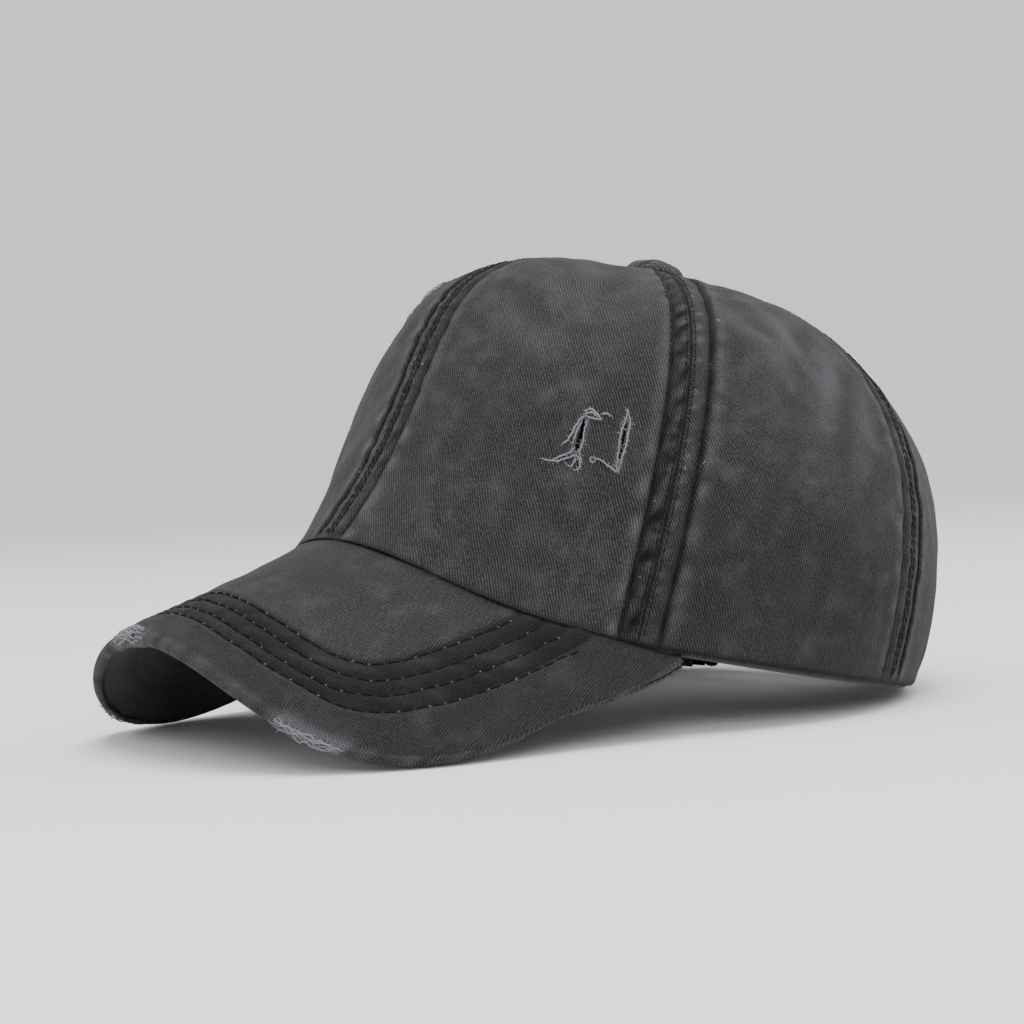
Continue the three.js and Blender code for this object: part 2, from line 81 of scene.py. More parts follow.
# Soft dents and folds of the crown: azimuth, share of the way up, depth, spread across, spread up
FOLDS = [
    (22, 0.9, 1.6, 15, 0.05),
    (-24, 0.88, 1.2, 14, 0.06),
    (138, 0.78, 1.4, 7, 0.12),
    (128, 0.62, 0.9, 6, 0.14),
    (-140, 0.76, 1.4, 7, 0.12),
    (-128, 0.6, 0.9, 6, 0.14),
    (80, 0.1, 1.2, 9, 0.09),
    (-84, 0.12, 1.2, 10, 0.09),
]
WALL = 1.6
GAP = 0.4
JOINT_GAP = 0.8

# Brim: a flat board bent over an arch and sloped down to the front
BRIM = {
    "joint_height": 28.0,
    "slope": 33.1,
    "curl": 0.018,
    "easing": 1.54e-7,
    "half_width": 92.5,
    "length": 63.5,
    "corner_back": -66.1,
    "side_power": 3.29,
    "front_power": 6.0,
    "corner_end": 85.0,
    "end_azimuth": 60.0,
    "end_overhang": 1.2,
    "fan": 2.2,
}

# Middle line of each binding along the back opening: share, distance on the left, on the right
OPENING = [
    (0, 44.5, 44.5),
    (0.09, 44.3, 47.6),
    (0.17, 43.6, 48),
    (0.26, 40.6, 41.6),
    (0.4, 37.4, 36.6),
    (0.53, 32.4, 31.2),
    (0.63, 24.8, 26.4),
    (0.71, 15.4, 19.4),
    (0.77, 7.8, 10.6),
    (0.82, 1.6, 4.2),
    (0.86, 0, 0.8),
    (0.9, 0, 0),
]
BINDING = {"width": 4.4, "thickness": 2.4}
UNDER_BINDING = BINDING["thickness"] + GAP
STRAP_THICKNESS = 1.4
REST_TILT = math.radians(13.9)
BUTTON = {"radius": 9.0, "height": 5.6, "lift": 0.75}


def clamp(value):
    return np.clip(value, 0, 1)


def smooth(value):
    v = clamp(value)
    return v * v * (3 - 2 * v)


def hill(distance, width):
    return np.exp(-((distance / width) ** 2))


def bezier(a, b, c, d, t):
    return (1 - t) ** 3 * a + 3 * (1 - t) ** 2 * t * b + 3 * (1 - t) * t * t * c + t**3 * d


def stack(*parts):
    return np.stack(np.broadcast_arrays(*parts), axis=-1)


def arrays(*values):
    return np.broadcast_arrays(*(np.asarray(value, float) for value in values))


def wrapped(azimuth):
    return np.arctan2(np.sin(azimuth), np.cos(azimuth))


def unit(vectors):
    return vectors / np.linalg.norm(vectors, axis=-1, keepdims=True)


def lengths_along(line):
    return np.concatenate([[0], np.cumsum(np.linalg.norm(np.diff(line, axis=0), axis=1))])


def read_table(rows, at):
    """Reads a sorted table of two columns at any place, with straight steps."""
    return np.interp(at, *np.array(rows, float).T)


def look_up(rows, column, at):
    """Reads a column of a sorted table at any place, with smooth steps between its rows."""
    table = np.array(rows, float)
    key, value = table[:, 0], table[:, column]
    at = np.clip(np.asarray(at, float), key[0], key[-1])
    high = np.clip(np.searchsorted(key, at), 1, len(key) - 1)
    low = high - 1
    before, after = np.maximum(low - 1, 0), np.minimum(high + 1, len(key) - 1)
    step = key[high] - key[low]
    u = (at - key[low]) / step
    slope_low = (value[high] - value[before]) / (key[high] - key[before]) * step
    slope_high = (value[after] - value[low]) / (key[after] - key[low]) * step
    return (
        value[low] * (2 * u**3 - 3 * u**2 + 1)
        + slope_low * (u**3 - 2 * u**2 + u)
        + value[high] * (3 * u**2 - 2 * u**3)
        + slope_high * (u**3 - u**2)
    )


def plan_radius(azimuth, side, front, back, power, front_power):
    c = np.cos(azimuth)
    along = np.where(c >= 0, front, back)
    share = np.where(c > 0, 1 - (1 - c) ** 2, 0)
    n = power + (front_power - power) * share
    return (np.abs(np.sin(azimuth) / side) ** n + np.abs(c / along) ** n) ** (-1 / n)


def rim_plan(azimuth):
    r = plan_radius(
        azimuth, RIM["side"], RIM["front"], RIM["back"], SQUARE["rim"], SQUARE["front_rim"]
    )
    return r * np.sin(azimuth), -r * np.cos(azimuth)


SLOPE = math.radians(BRIM["slope"])


def arch_drop(x):
    return BRIM["curl"] * x * x / 2 - BRIM["easing"] * x**4 / 4


def brim_reach(x, y):
    return (-RIM["front"] + arch_drop(x) * math.sin(SLOPE) - y) / math.cos(SLOPE)


def board_height(x, y):
    """Height of the bent brim board under a place in plan."""
    reach = brim_reach(x, y)
    return BRIM["joint_height"] - reach * math.sin(SLOPE) - arch_drop(x) * math.cos(SLOPE)


def rim_height(azimuth):
    turn = np.abs(wrapped(azimuth))
    board = board_height(*rim_plan(np.minimum(turn, math.radians(RIM_HEIGHT["brim_reach"]))))
    lift = RIM_HEIGHT["back"] - RIM_HEIGHT["side"]
    free = RIM_HEIGHT["side"] + lift * ((1 - np.cos(turn)) / 2) ** RIM_HEIGHT["power"]
    over = (board - free) / RIM_HEIGHT["blend"]
    blended = free + RIM_HEIGHT["blend"] * (np.clip(over, -1, 1) + 1) ** 2 / 4
    return np.where(over >= 1, board, blended)


def centre_at(share):
    """How far back the crown's centre lies, some way up it."""
    return BUTTON_BACK_OFFSET * np.maximum(share, 0) ** CENTRE_DRIFT


def off_centre(point, share):
    return np.hypot(point[..., 0], point[..., 1] - centre_at(share))


def crown(azimuth, share):
    """Outer surface of the crown: azimuth from the front, share of the way from rim to button."""
    azimuth, share = arrays(azimuth, share)
    c = np.cos(azimuth)

    def reach(name, start, end):
        p = PROFILES[name]
        out = start + p["rise"] * math.sin(math.radians(p["lean"]))
        return bezier(start, out, end + p["shoulder"], end, share)

    front = reach("front", RIM["front"], -BUTTON_BACK_OFFSET)
    side = reach("side", RIM["side"], 0)
    back = reach("back", RIM["back"], BUTTON_BACK_OFFSET)
    centre = centre_at(share)
    upright = {k: p["rise"] * math.cos(math.radians(p["lean"])) for k, p in PROFILES.items()}
    end = np.where(c > 0, upright["front"], upright["back"])
    rise = c * c * end + (1 - c * c) * upright["side"]
    low = rim_height(azimuth)
    z = bezier(low, low + rise, CROWN_HEIGHT, CROWN_HEIGHT, share)
    power = SQUARE["rim"] + (SQUARE["top"] - SQUARE["rim"]) * share
    early = np.minimum(share * 1.6, 1)
    front_power = SQUARE["front_rim"] + (SQUARE["front_top"] - SQUARE["front_rim"]) * early
    least = 0.001
    r = plan_radius(
        azimuth,
        np.maximum(side, least),
        np.maximum(front + centre, least),
        np.maximum(back - centre, least),
        power,
        front_power,
    )
    return stack(r * np.sin(azimuth), centre - r * np.cos(azimuth), z)


def crown_normal(azimuth, share):
    step = 0.004
    at = np.clip(share, step, 1 - 3 * step)
    across = crown(azimuth + step, at) - crown(azimuth - step, at)
    upward = crown(azimuth, at + step) - crown(azimuth, at - step)
    return unit(np.cross(across, upward))


def inward(azimuth, share):
    """Direction from the outer to the inner face of the wall: flat along the brim at the rim."""
    x, y = rim_plan(azimuth)
    ahead_x, ahead_y = rim_plan(azimuth + 0.01)
    flat = unit(stack(-(ahead_y - y), ahead_x - x, 0 * x))
    turn = np.abs(wrapped(azimuth))
    carried = 1 - smooth((turn - math.radians(44)) / math.radians(16))
    rise = board_height(x + flat[..., 0], y + flat[..., 1]) - board_height(x, y)
    flat = flat + stack(0 * rise, 0 * rise, rise * carried)
    blend = smooth(share / 0.07)[..., None]
    return unit(flat * (1 - blend) - crown_normal(azimuth, share) * blend)


def fold_lift(azimuth, share):
    lift = 0 * azimuth
    for fold_azimuth, fold_share, depth, wide, high in FOLDS:
        across = wrapped(azimuth - math.radians(fold_azimuth)) / math.radians(wide)
        lift = lift - depth * np.exp(-(across**2) - ((share - fold_share) / high) ** 2)
    return lift


def wall(azimuth, share, depth):
    """A point of the crown's wall, some way under its outer face."""
    azimuth, share = arrays(azimuth, share)
    raised = fold_lift(azimuth, share) * smooth(share / 0.05)
    folded = crown(azimuth, share) + crown_normal(azimuth, share) * raised[..., None]
    return folded + inward(azimuth, share) * np.asarray(depth)[..., None]


def back_azimuth(share, distance):
    """Azimuth at the back where the surface is a given distance from the middle."""
    share, distance = arrays(share, distance)
    azimuth = np.full(share.shape, math.pi)
    for _ in range(6):
        r = off_centre(crown(azimuth, share), share)
        azimuth = math.pi - np.arcsin(np.clip(distance / r, -1, 1))
    return azimuth


def seam_at(seam, share):
    return np.radians(seam["azimuth"] + seam["bow"] * 4 * share * (1 - share))


def opening_edge(column, share, clearance):
    """Azimuth of a line that keeps square to the binding's slanting middle line."""
    step = 0.01
    run = look_up(OPENING, column, share + step) - look_up(OPENING, column, share - step)
    span = crown(math.pi, share + step) - crown(math.pi, np.maximum(share - step, 0))
    climb = np.linalg.norm(span, axis=-1)
    middle = np.maximum(look_up(OPENING, column, share), 0)
    return back_azimuth(share, middle + clearance * np.hypot(1, run / climb))


def brim_edge(turn):
    """Outline of the brim on the flat board: place across and reach forward."""
    across = BRIM["half_width"] * np.sin(turn) ** (2 / BRIM["side_power"])
    span = BRIM["length"] - BRIM["corner_back"]
    reach = BRIM["corner_back"] + span * np.cos(turn) ** (2 / BRIM["front_power"])
    x = across
    for _ in range(6):
        tangent = BRIM["curl"] * x - BRIM["easing"] * x**3
        x = x + across - x * (1 + tangent * tangent / 6)
    return stack(x, reach)


def walk_outline():
    turns = math.radians(BRIM["corner_end"]) * np.linspace(0, 1, 301) ** 1.6
    points = brim_edge(turns)
    x, y = rim_plan(math.radians(BRIM["end_azimuth"]))
    last = np.array([[x + BRIM["end_overhang"], brim_reach(x, y)]])
    points = np.concatenate([points, last])
    walked = lengths_along(points)
    return points, walked


OUTLINE, WALKED = walk_outline()


def outline_at(half):
    """Place on the half outline at a share of its length, and how far past the corner it is."""
    target = half * WALKED[-1]
    x = np.interp(target, WALKED, OUTLINE[:, 0])
    reach = np.interp(target, WALKED, OUTLINE[:, 1])
    past = clamp((target - WALKED[-2]) / (WALKED[-1] - WALKED[-2]))
    return x, reach, past


def brim_flat(along, out):
    """Place on the flat board and the lift off it, from side to side and from joint to edge."""
    half = np.abs(along)
    azimuth = math.radians(BRIM["end_azimuth"]) * (1 - (1 - half) ** BRIM["fan"])
    inset = wall(azimuth, 0 * azimuth, WALL)
    end_x, end_y = rim_plan(math.radians(BRIM["end_azimuth"]))
    end_lift = rim_height(math.radians(BRIM["end_azimuth"])) - board_height(end_x, end_y)
    inner_lift = inset[..., 2] - JOINT_GAP - board_height(inset[..., 0], inset[..., 1])
    place_x, place_reach, past = outline_at(half)
    outer_lift = (end_lift - JOINT_GAP) * past * past
    inner_reach = brim_reach(inset[..., 0], inset[..., 1])
    x = inset[..., 0] + (place_x - inset[..., 0]) * out
    reach = inner_reach + (place_reach - inner_reach) * out
    return np.where(along < 0, -1, 1) * x, reach, inner_lift + (outer_lift - inner_lift) * out


def board_point(x, reach, lift):
    drop = arch_drop(x)
    y = -RIM["front"] - reach * math.cos(SLOPE) + drop * math.sin(SLOPE)
    z = BRIM["joint_height"] - reach * math.sin(SLOPE) - drop * math.cos(SLOPE) + lift
    return stack(x, y, z)


def on_board(line):
    """A line given as place across and reach forward, as points on the bent board."""
    x, reach = np.array(line, float).T
    return board_point(x, reach, 0.0)


def brim_top(along, out):
    return board_point(*brim_flat(along, out))


def brim_normal(along, out):
    step = 0.01
    a = np.clip(along, step - 1, 1 - step)
    o = np.clip(out, step, 1 - step)
    across = brim_top(a + step, o) - brim_top(a - step, o)
    outward = brim_top(a, o + step) - brim_top(a, o - step)
    return unit(np.cross(outward, across))


def tilt(points):
    """Turns a level cap into the way it lies, before it is moved over the frame's origin."""
    c, s = math.cos(REST_TILT), math.sin(REST_TILT)
    x, y, z = points[..., 0], points[..., 1], points[..., 2]
    return stack(x, y * c + z * s, -y * s + z * c)


def frame_offset():
    """What moves tilted millimetres over the frame's origin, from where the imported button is."""
    turns = np.arange(28) * 2 * math.pi / 28
    rise = np.radians(90 * np.arange(7) / 7)
    radii = BUTTON["radius"] * np.cos(rise) ** 0.75
    heights = 0.6 + (BUTTON["height"] - 0.6) * np.sin(rise)
    radii = np.concatenate([[0, BUTTON["radius"] * 0.9], radii, [0]])
    heights = np.concatenate([[0, 0], heights, [BUTTON["height"]]])
    ring = stack(
        radii[:, None] * np.sin(turns),
        BUTTON_BACK_OFFSET - radii[:, None] * np.cos(turns),
        heights[:, None] + CROWN_HEIGHT + BUTTON["lift"],
    )
    low = tilt(ring).reshape(-1, 3).min(axis=0)
    return np.array(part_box("top_button")[0]) / MM - low


OFFSET = frame_offset()


def at_rest(points):
    return (tilt(points) + OFFSET) * MM


def linear(value):
    """Linear RGBA of an sRGB hex value."""
    parts = [int(value[i : i + 2], 16) / 255 for i in (1, 3, 5)]
    return [c / 12.92 if c <= 0.04045 else ((c + 0.055) / 1.055) ** 2.4 for c in parts] + [1.0]


def add_node(tree, kind, inputs, output=0, **settings):
    """Adds a shader node, sets it up, links or sets its inputs, and gives back an output."""
    made = tree.nodes.new("ShaderNode" + kind)
    for key, value in settings.items():
        setattr(made, key, value)
    for key, value in inputs.items():
        if isinstance(value, bpy.types.NodeSocket):
            tree.links.new(value, made.inputs[key])
        else:
            made.inputs[key].default_value = value
    return made.outputs[output]


def new_material(name, **finish):
    """A material that isn't metal, with its finish set on the shader's own sockets."""
    material = bpy.data.materials.new(name)
    material.use_nodes = True
    tree = material.node_tree
    shader = tree.nodes["Principled BSDF"]
    for socket, value in {"Metallic": 0.0, **finish}.items():
        shader.inputs[socket.replace("_", " ")].default_value = value
    return material, tree, shader


# A wave texture repeats every tenth of pi of its scaled place
WAVE_REPEAT = math.pi / 10


def twill(name, dark, mid, pale, seam_dye_and_shade, pitch, relief=0.42, clouds=22.0):
    """Washed cotton twill: slanting wales, a salt-and-pepper grain and faded clouds of dye.

    The cloth's UV map is in millimetres with the wales along V. Its colour attribute says where
    the cloth is darker (red), from dye kept in seams and from painted shade in grooves, under
    edges and at joints, where folds are worn pale (green) and where the fading is blotchy (blue).
    Real wales are about 0.5 mm apart. They are drawn 0.74 to 0.8 mm apart, which still shows.
    """
    material, tree, shader = new_material(
        name, Roughness=0.92, Specular_IOR_Level=0.12, Sheen_Weight=0.05, Sheen_Roughness=0.5
    )
    cloth = add_node(tree, "UVMap", {}, uv_map="cloth")
    place = add_node(tree, "TexCoord", {}, "Object")
    tone_and_shade = add_node(tree, "Attribute", {}, "Color", attribute_name="tone_and_shade")
    dye_and_shade_mask, rubbed, blotchy = add_node(tree, "SeparateColor", {0: tone_and_shade}).node.outputs

    drift = add_node(tree, "TexNoise", {"Vector": cloth, "Scale": 0.09, "Detail": 2.0}, "Color")
    sway = {0: drift, 1: (1.6, 1.6, 0.0), 2: cloth}
    shift = add_node(tree, "VectorMath", sway, operation="MULTIPLY_ADD")
    wales = {"Scale": WAVE_REPEAT / pitch, "Distortion": 2.6, "Detail": 2.0, "Detail Scale": 3.6}
    wale = add_node(tree, "TexWave", {"Vector": shift, **wales}, "Fac", bands_direction="X")
    wefts = {"Scale": WAVE_REPEAT / (pitch * 1.3), "Distortion": 2.5, "Detail Scale": 1.5}
    weft = add_node(tree, "TexWave", {"Vector": shift, **wefts}, "Fac", bands_direction="Y")
    specks = {"Vector": shift, "Scale": 1.5, "Detail": 3.0, "Roughness": 0.7}
    grain = add_node(tree, "TexNoise", specks, "Fac")
    fading = {"Vector": place, "Scale": clouds, "Detail": 5.0, "Roughness": 0.62}
    dye = add_node(tree, "TexNoise", fading, "Fac")
    blots = {"Vector": cloth, "Scale": 0.13, "Detail": 2.0, "Roughness": 0.5}
    blotch = add_node(tree, "TexNoise", blots, "Fac")

    cloudy = add_node(tree, "MapRange", {0: dye, 1: 0.3, 2: 0.72, 3: 0.0, 4: 1.0})
    peppered = add_node(tree, "MapRange", {0: grain, 1: 0.35, 2: 0.68, 3: 0.0, 4: 1.0})
    patch = add_node(tree, "MapRange", {0: blotch, 1: 0.45, 2: 0.75, 3: 0.0, 4: 0.45})
    worn = add_node(tree, "Math", {0: peppered, 1: wale}, operation="MULTIPLY")
    faded = add_node(tree, "Math", {0: worn, 1: 0.55}, operation="MULTIPLY")
    patchy = add_node(tree, "Math", {0: patch, 1: blotchy}, operation="MULTIPLY")
    ridge = add_node(tree, "Math", {0: worn, 1: 0.5, 2: 0.45}, operation="MULTIPLY_ADD")
    ridge = add_node(tree, "Math", {0: ridge, 1: rubbed}, operation="MULTIPLY")
    valley = add_node(tree, "Math", {0: wale, 1: 0.4, 2: 0.7}, operation="MULTIPLY_ADD")
    shaded = add_node(tree, "CombineColor", {0: valley, 1: valley, 2: valley})
    colour = dark
    # Layers of tone over the dark twill; the darkest is seam dye mixed with painted shade
    for factor, over, kind in (
        (cloudy, mid, "MIX"),
        (faded, pale, "MIX"),
        (patchy, pale, "MIX"),
        (ridge, pale, "MIX"),
        (dye_and_shade_mask, seam_dye_and_shade, "MIX"),
        (1.0, shaded, "MULTIPLY"),
    ):
        layer = {0: factor, 6: colour, 7: over}
        colour = add_node(tree, "Mix", layer, 2, data_type="RGBA", blend_type=kind)
    tree.links.new(colour, shader.inputs["Base Color"])

    height = add_node(tree, "Math", {0: weft, 1: 0.3, 2: wale}, operation="MULTIPLY_ADD")
    height = add_node(tree, "Math", {0: grain, 1: 0.9, 2: height}, operation="MULTIPLY_ADD")
    bump = add_node(tree, "Bump", {"Height": height, "Strength": relief, "Distance": 0.00018})
    tree.links.new(bump, shader.inputs["Normal"])
    return material


def yarn(name, colour, fleck, twist=0.6):
    """Spun cotton thread: fine light and dark flecks along a dull strand."""
    material, tree, shader = new_material(
        name, Roughness=0.85, Specular_IOR_Level=0.1, Sheen_Weight=0.03
    )
    place = add_node(tree, "TexCoord", {}, "Object")
    fibre = add_node(tree, "TexNoise", {"Vector": place, "Scale": 1800.0, "Detail": 2.0}, "Fac")
    mixed = add_node(tree, "Mix", {0: fibre, 6: colour, 7: fleck}, 2, data_type="RGBA")
    tree.links.new(mixed, shader.inputs["Base Color"])
    bump = add_node(tree, "Bump", {"Height": fibre, "Strength": twist, "Distance": 0.0001})
    tree.links.new(bump, shader.inputs["Normal"])
    return material


# How many waves make up an uneven line and an uneven sheet
LINE_WAVES, SHEET_WAVES = 5, 7


def ripple(at, seed, pitch):
    """Uneven waves along a line, about one high."""
    draw = np.random.default_rng(seed)
    total = 0 * np.asarray(at, float)
    for _ in range(LINE_WAVES):
        length = pitch * draw.uniform(0.6, 1.7)
        total = total + np.sin(at * 2 * math.pi / length + draw.uniform(0, 6.3))
    return total / LINE_WAVES**0.5


def rumple(x, y, seed, pitch):
    """Soft unevenness over a sheet, about one high."""
    draw = np.random.default_rng(seed)
    total = 0 * x
    for _ in range(SHEET_WAVES):
        turn = draw.uniform(0, math.pi)
        step = 2 * math.pi / (pitch * draw.uniform(0.6, 1.6))
        slanted = x * math.cos(turn) + y * math.sin(turn)
        total = total + np.sin(slanted * step + draw.uniform(0, 6.3))
    return total / SHEET_WAVES**0.5


def cloth_uv(u, v, slant):
    """Turns millimetres on a piece so that its wales, at that slant, run along V."""
    c, s = math.cos(math.radians(slant)), math.sin(math.radians(slant))
    return stack(-s * u + c * v, c * u + s * v)


def pattern_grid(columns, rows):
    """A flat grid of a piece's pattern, numbered 0 to 1 across and up."""
    bm = bmesh.new()
    bmesh.ops.create_grid(bm, x_segments=columns, y_segments=rows, size=0.5)
    for vert in bm.verts:
        vert.co.x += 0.5
        vert.co.y += 0.5
    return bm


def flat_points(bm):
    return np.array([vert.co[:] for vert in bm.verts])


def move_points(bm, points):
    for vert, point in zip(bm.verts, points.tolist()):
        vert.co = point


def distance_to_line(points, line):
    """Distance from each point to a chain of segments, and how far along the chain it is."""
    best = np.full(len(points), 1e9)
    along = np.zeros(len(points))
    walked = 0.0
    for a, b in zip(line[:-1], line[1:]):
        step = b - a
        length = float(np.linalg.norm(step))
        t = clamp(((points - a) @ step) / max(length * length, 1e-9))
        d = np.linalg.norm(points - a - t[:, None] * step, axis=1)
        closer = d < best
        best[closer] = d[closer]
        along[closer] = (walked + t * length)[closer]
        walked += length
    return best, along / max(walked, 1e-9)


# How far from a slit the mesh is made finer, in mm
SLIT_MARGIN = 1.6


def open_slits(bm, slits, to_mm):
    """Cuts lens-shaped holes along lines on the flat pattern, with a finer mesh beside them."""
    for chain, half_width in slits:
        centres = np.array([face.calc_center_median()[:2] for face in bm.faces])
        near, _ = distance_to_line(to_mm(centres), chain)
        if near.min() > half_width:
            continue
        bm.faces.ensure_lookup_table()
        beside = [bm.faces[i] for i in np.nonzero(near < half_width + SLIT_MARGIN)[0]]
        chosen = {edge for face in beside for edge in face.edges}
        bmesh.ops.subdivide_edges(bm, edges=list(chosen), cuts=2, use_grid_fill=True)
        centres = np.array([face.calc_center_median()[:2] for face in bm.faces])
        near, along = distance_to_line(to_mm(centres), chain)
        bm.faces.ensure_lookup_table()
        ragged = 1 + 0.35 * ripple(along * 40, 11, 3.0)
        lens = half_width * np.sqrt(clamp(4 * along * (1 - along))) * ragged
        gone = [bm.faces[i] for i in np.nonzero(near < lens)[0]]
        bmesh.ops.delete(bm, geom=gone, context="FACES")


def lips(points, slits):
    """How close each point is to the edge of a slit, from 0 to 1."""
    near = np.zeros(len(points))
    for chain, half_width in slits:
        d, _ = distance_to_line(points, chain)
        near = np.maximum(near, hill(np.maximum(d - half_width, 0), 0.9))
    return near


def smooth_faces(bm):
    for face in bm.faces:
        face.smooth = True


def write_layers(bm, uv, dark, pale, mottle):
    """Writes the cloth's UV map in mm and its dark (dye and painted shade), pale and blotchy
    zones.
    """
    uv_layer = bm.loops.layers.uv.new("cloth")
    tone_and_shade_layer = bm.verts.layers.float_color.new("tone_and_shade")
    bm.verts.index_update()
    uv, tone_and_shade = uv.tolist(), stack(dark, pale, mottle).tolist()
    for vert in bm.verts:
        vert[tone_and_shade_layer] = (*tone_and_shade[vert.index], 1.0)
    smooth_faces(bm)
    for face in bm.faces:
        for loop in face.loops:
            loop[uv_layer].uv = uv[loop.vert.index]


def face_out(bm, outward):
    """Turns a sheet's faces outwards, given the way out at each vertex in the level frame."""
    outward = tilt(outward)
    bm.normal_update()
    bm.verts.index_update()
    facing = sum(face.normal.dot(Vector(outward[face.verts[0].index])) for face in bm.faces)
    if facing < 0:
        bmesh.ops.reverse_faces(bm, faces=bm.faces)


def place_object(name, data):
    made = bpy.data.objects.new(name, data)
    bpy.context.scene.collection.objects.link(made)
    return made


def mesh_object(bm, name, material):
    mesh = bpy.data.meshes.new(name)
    bm.to_mesh(mesh)
    bm.free()
    mesh.materials.append(material)
    return place_object(name, mesh)


def lathe(outline, steps, merge):
    """Spins an outline of radius and height about the upright axis."""
    bm = bmesh.new()
    verts = [bm.verts.new((radius, 0, height)) for radius, height in outline]
    edges = [bm.edges.new(pair) for pair in zip(verts[:-1], verts[1:])]
    axes = {"axis": (0, 0, 1), "cent": (0, 0, 0), "angle": 2 * math.pi}
    bmesh.ops.spin(bm, geom=verts + edges, steps=steps, use_merge=True, **axes)
    bmesh.ops.remove_doubles(bm, verts=bm.verts, dist=merge)
    bmesh.ops.recalc_face_normals(bm, faces=bm.faces)
    return bm


def make_piece(bm, name, material, node=None, thickness=0.0):
    """Finishes a piece: its object, its wall in mm inwards, its body, and hides its imported
    solid.
    """
    piece = mesh_object(bm, name, material)
    if thickness:
        wall_thickness = piece.modifiers.new("cloth thickness", "SOLIDIFY")
        wall_thickness.thickness = thickness * MM
        wall_thickness.offset = -1.0
        wall_thickness.use_even_offset = False
    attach(piece, "root")
    if node:
        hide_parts(node)
    return piece


def strands(name, lines, material):
    """Many thin threads as one mesh; each line is its points in metres and its radius in mm."""
    curve = bpy.data.curves.new(name, "CURVE")
    curve.dimensions = "3D"
    curve.bevel_depth = MM
    curve.bevel_resolution = 1
    curve.use_fill_caps = True
    for points, radius in lines:
        points = np.asarray(points, float)
        spline = curve.splines.new("POLY")
        spline.points.add(len(points) - 1)
        radii = np.broadcast_to(np.asarray(radius, float), (len(points),))
        spline.points.foreach_set("co", np.column_stack([points, np.ones(len(points))]).ravel())
        spline.points.foreach_set("radius", radii.astype(np.float32))
    drawn = bpy.data.objects.new(name + "_curve", curve)
    mesh = bpy.data.meshes.new_from_object(drawn)
    bpy.data.objects.remove(drawn)
    bpy.data.curves.remove(curve)
    mesh.name = name
    bm = bmesh.new()
    bm.from_mesh(mesh)
    bmesh.ops.recalc_face_normals(bm, faces=bm.faces)
    smooth_faces(bm)
    bpy.data.meshes.remove(mesh)
    return make_piece(bm, name, material)


def cloth_tree(*names):
    """Search tree over the outer faces of finished cloth pieces."""
    verts, faces = [], []
    for name in names:
        mesh = bpy.data.objects[name].data
        start = len(verts)
        verts += [vert.co.copy() for vert in mesh.vertices]
        faces += [[start + i for i in face.vertices] for face in mesh.polygons]
    return BVHTree.FromPolygons(verts, faces)


def on_cloth(tree, points):
    """Nearest places on the cloth and the way out of it, for points in level millimetres."""
    hits = [tree.find_nearest(Vector(point))[:2] for point in at_rest(points)]
    return np.array([hit[0][:] for hit in hits]), np.array([hit[1][:] for hit in hits])


def walk(points, spacing):
    """Resamples a line of points at even steps."""
    lengths = lengths_along(points)
    count = max(int(lengths[-1] / spacing), 2)
    at = np.linspace(0, lengths[-1], count + 1)
    return stack(*(np.interp(at, lengths, column) for column in points.T))


# Steps in mm along a line that is sewn or frayed
SEWING_STEP, FRAYING_STEP = 0.25, 0.3


def sew(tree, points, pitch, share, radius, height):
    """Stitches along a line in level millimetres: each dips into the cloth at both ends."""
    line, normal = on_cloth(tree, walk(points, SEWING_STEP))
    step = int(round(pitch / SEWING_STEP))
    profile = np.array([-0.5, 0.5, 1.0, 0.5, -0.5]) * height * MM
    made = []
    for start in range(0, len(line) - step, step):
        at = start + np.round(np.array([0, 0.16, 0.5, 0.84, 1]) * share * step).astype(int)
        stitch = line[at] + unit(normal[at].mean(axis=0)) * profile[:, None]
        made.append((stitch, radius * np.array([0.6, 1, 1, 1, 0.6])))
    return made


SEAM_COLUMNS = [0, 0.25, 0.5, 0.9, 1.5, 2.3, 3.2, 4, 4.6, 5.1, 5.6, 6.1, 6.7, 7.4, 8.4, 9.6, 11]
SEAM_GAP = -0.05
# Height of the cloth by distance from a sewn seam: crease, turned-in band, topstitch, ridge
SEAM_LIFT = [
    (0, -0.95),
    (0.3, -0.3),
    (0.8, 0.12),
    (2.2, 0.36),
    (3.4, 0.2),
    (5.0, -0.3),
    (5.8, -0.55),
    (6.7, 0.36),
    (8.4, 0.3),
    (12, 0),
]
BOUND_LIFT = [(0, -1.2), (0.9, -0.35), (2.2, 0.1), (5, 0.1), (9, 0)]
RIM_LIFT = [(0, -0.75), (0.4, -0.28), (1, 0), (2.2, 0.1), (4.5, 0)]
PANEL_TOP = 0.985
RIM_ROWS = [0, 0.0012, 0.0026, 0.0045, 0.007, 0.01, 0.014, 0.019]

# Soft creases of the crown: places as azimuth and share, then depth in mm and half width in mm
CREASES = [
    ([(96, 0.62), (88, 0.5), (79, 0.36)], 0.7, 4.5),
    ([(101, 0.5), (94, 0.38), (88, 0.25)], 0.6, 4.0),
    ([(104, 0.78), (95, 0.68), (86, 0.62)], 0.5, 3.5),
    ([(70, 0.66), (77, 0.52), (82, 0.44)], 0.4, 4.0),
    ([(30, 0.84), (36, 0.72), (40, 0.6)], 0.5, 5.0),
    ([(16, 0.6), (26, 0.52), (36, 0.5)], 0.35, 5.0),
    ([(122, 0.86), (126, 0.74), (132, 0.62)], 0.9, 4.0),
    ([(140, 0.88), (143, 0.78), (147, 0.7)], 0.8, 3.2),
    ([(-122, 0.86), (-127, 0.74), (-133, 0.62)], 0.9, 4.0),
    ([(-140, 0.88), (-144, 0.78), (-148, 0.7)], 0.8, 3.2),
    ([(-116, 0.5), (-124, 0.44), (-133, 0.42)], 0.6, 3.6),
    ([(117, 0.46), (125, 0.38), (134, 0.34)], 0.6, 3.6),
    ([(-96, 0.62), (-88, 0.5), (-79, 0.36)], 0.6, 4.5),
    ([(-20, 0.72), (-30, 0.66), (-40, 0.68)], 0.5, 4.5),
]

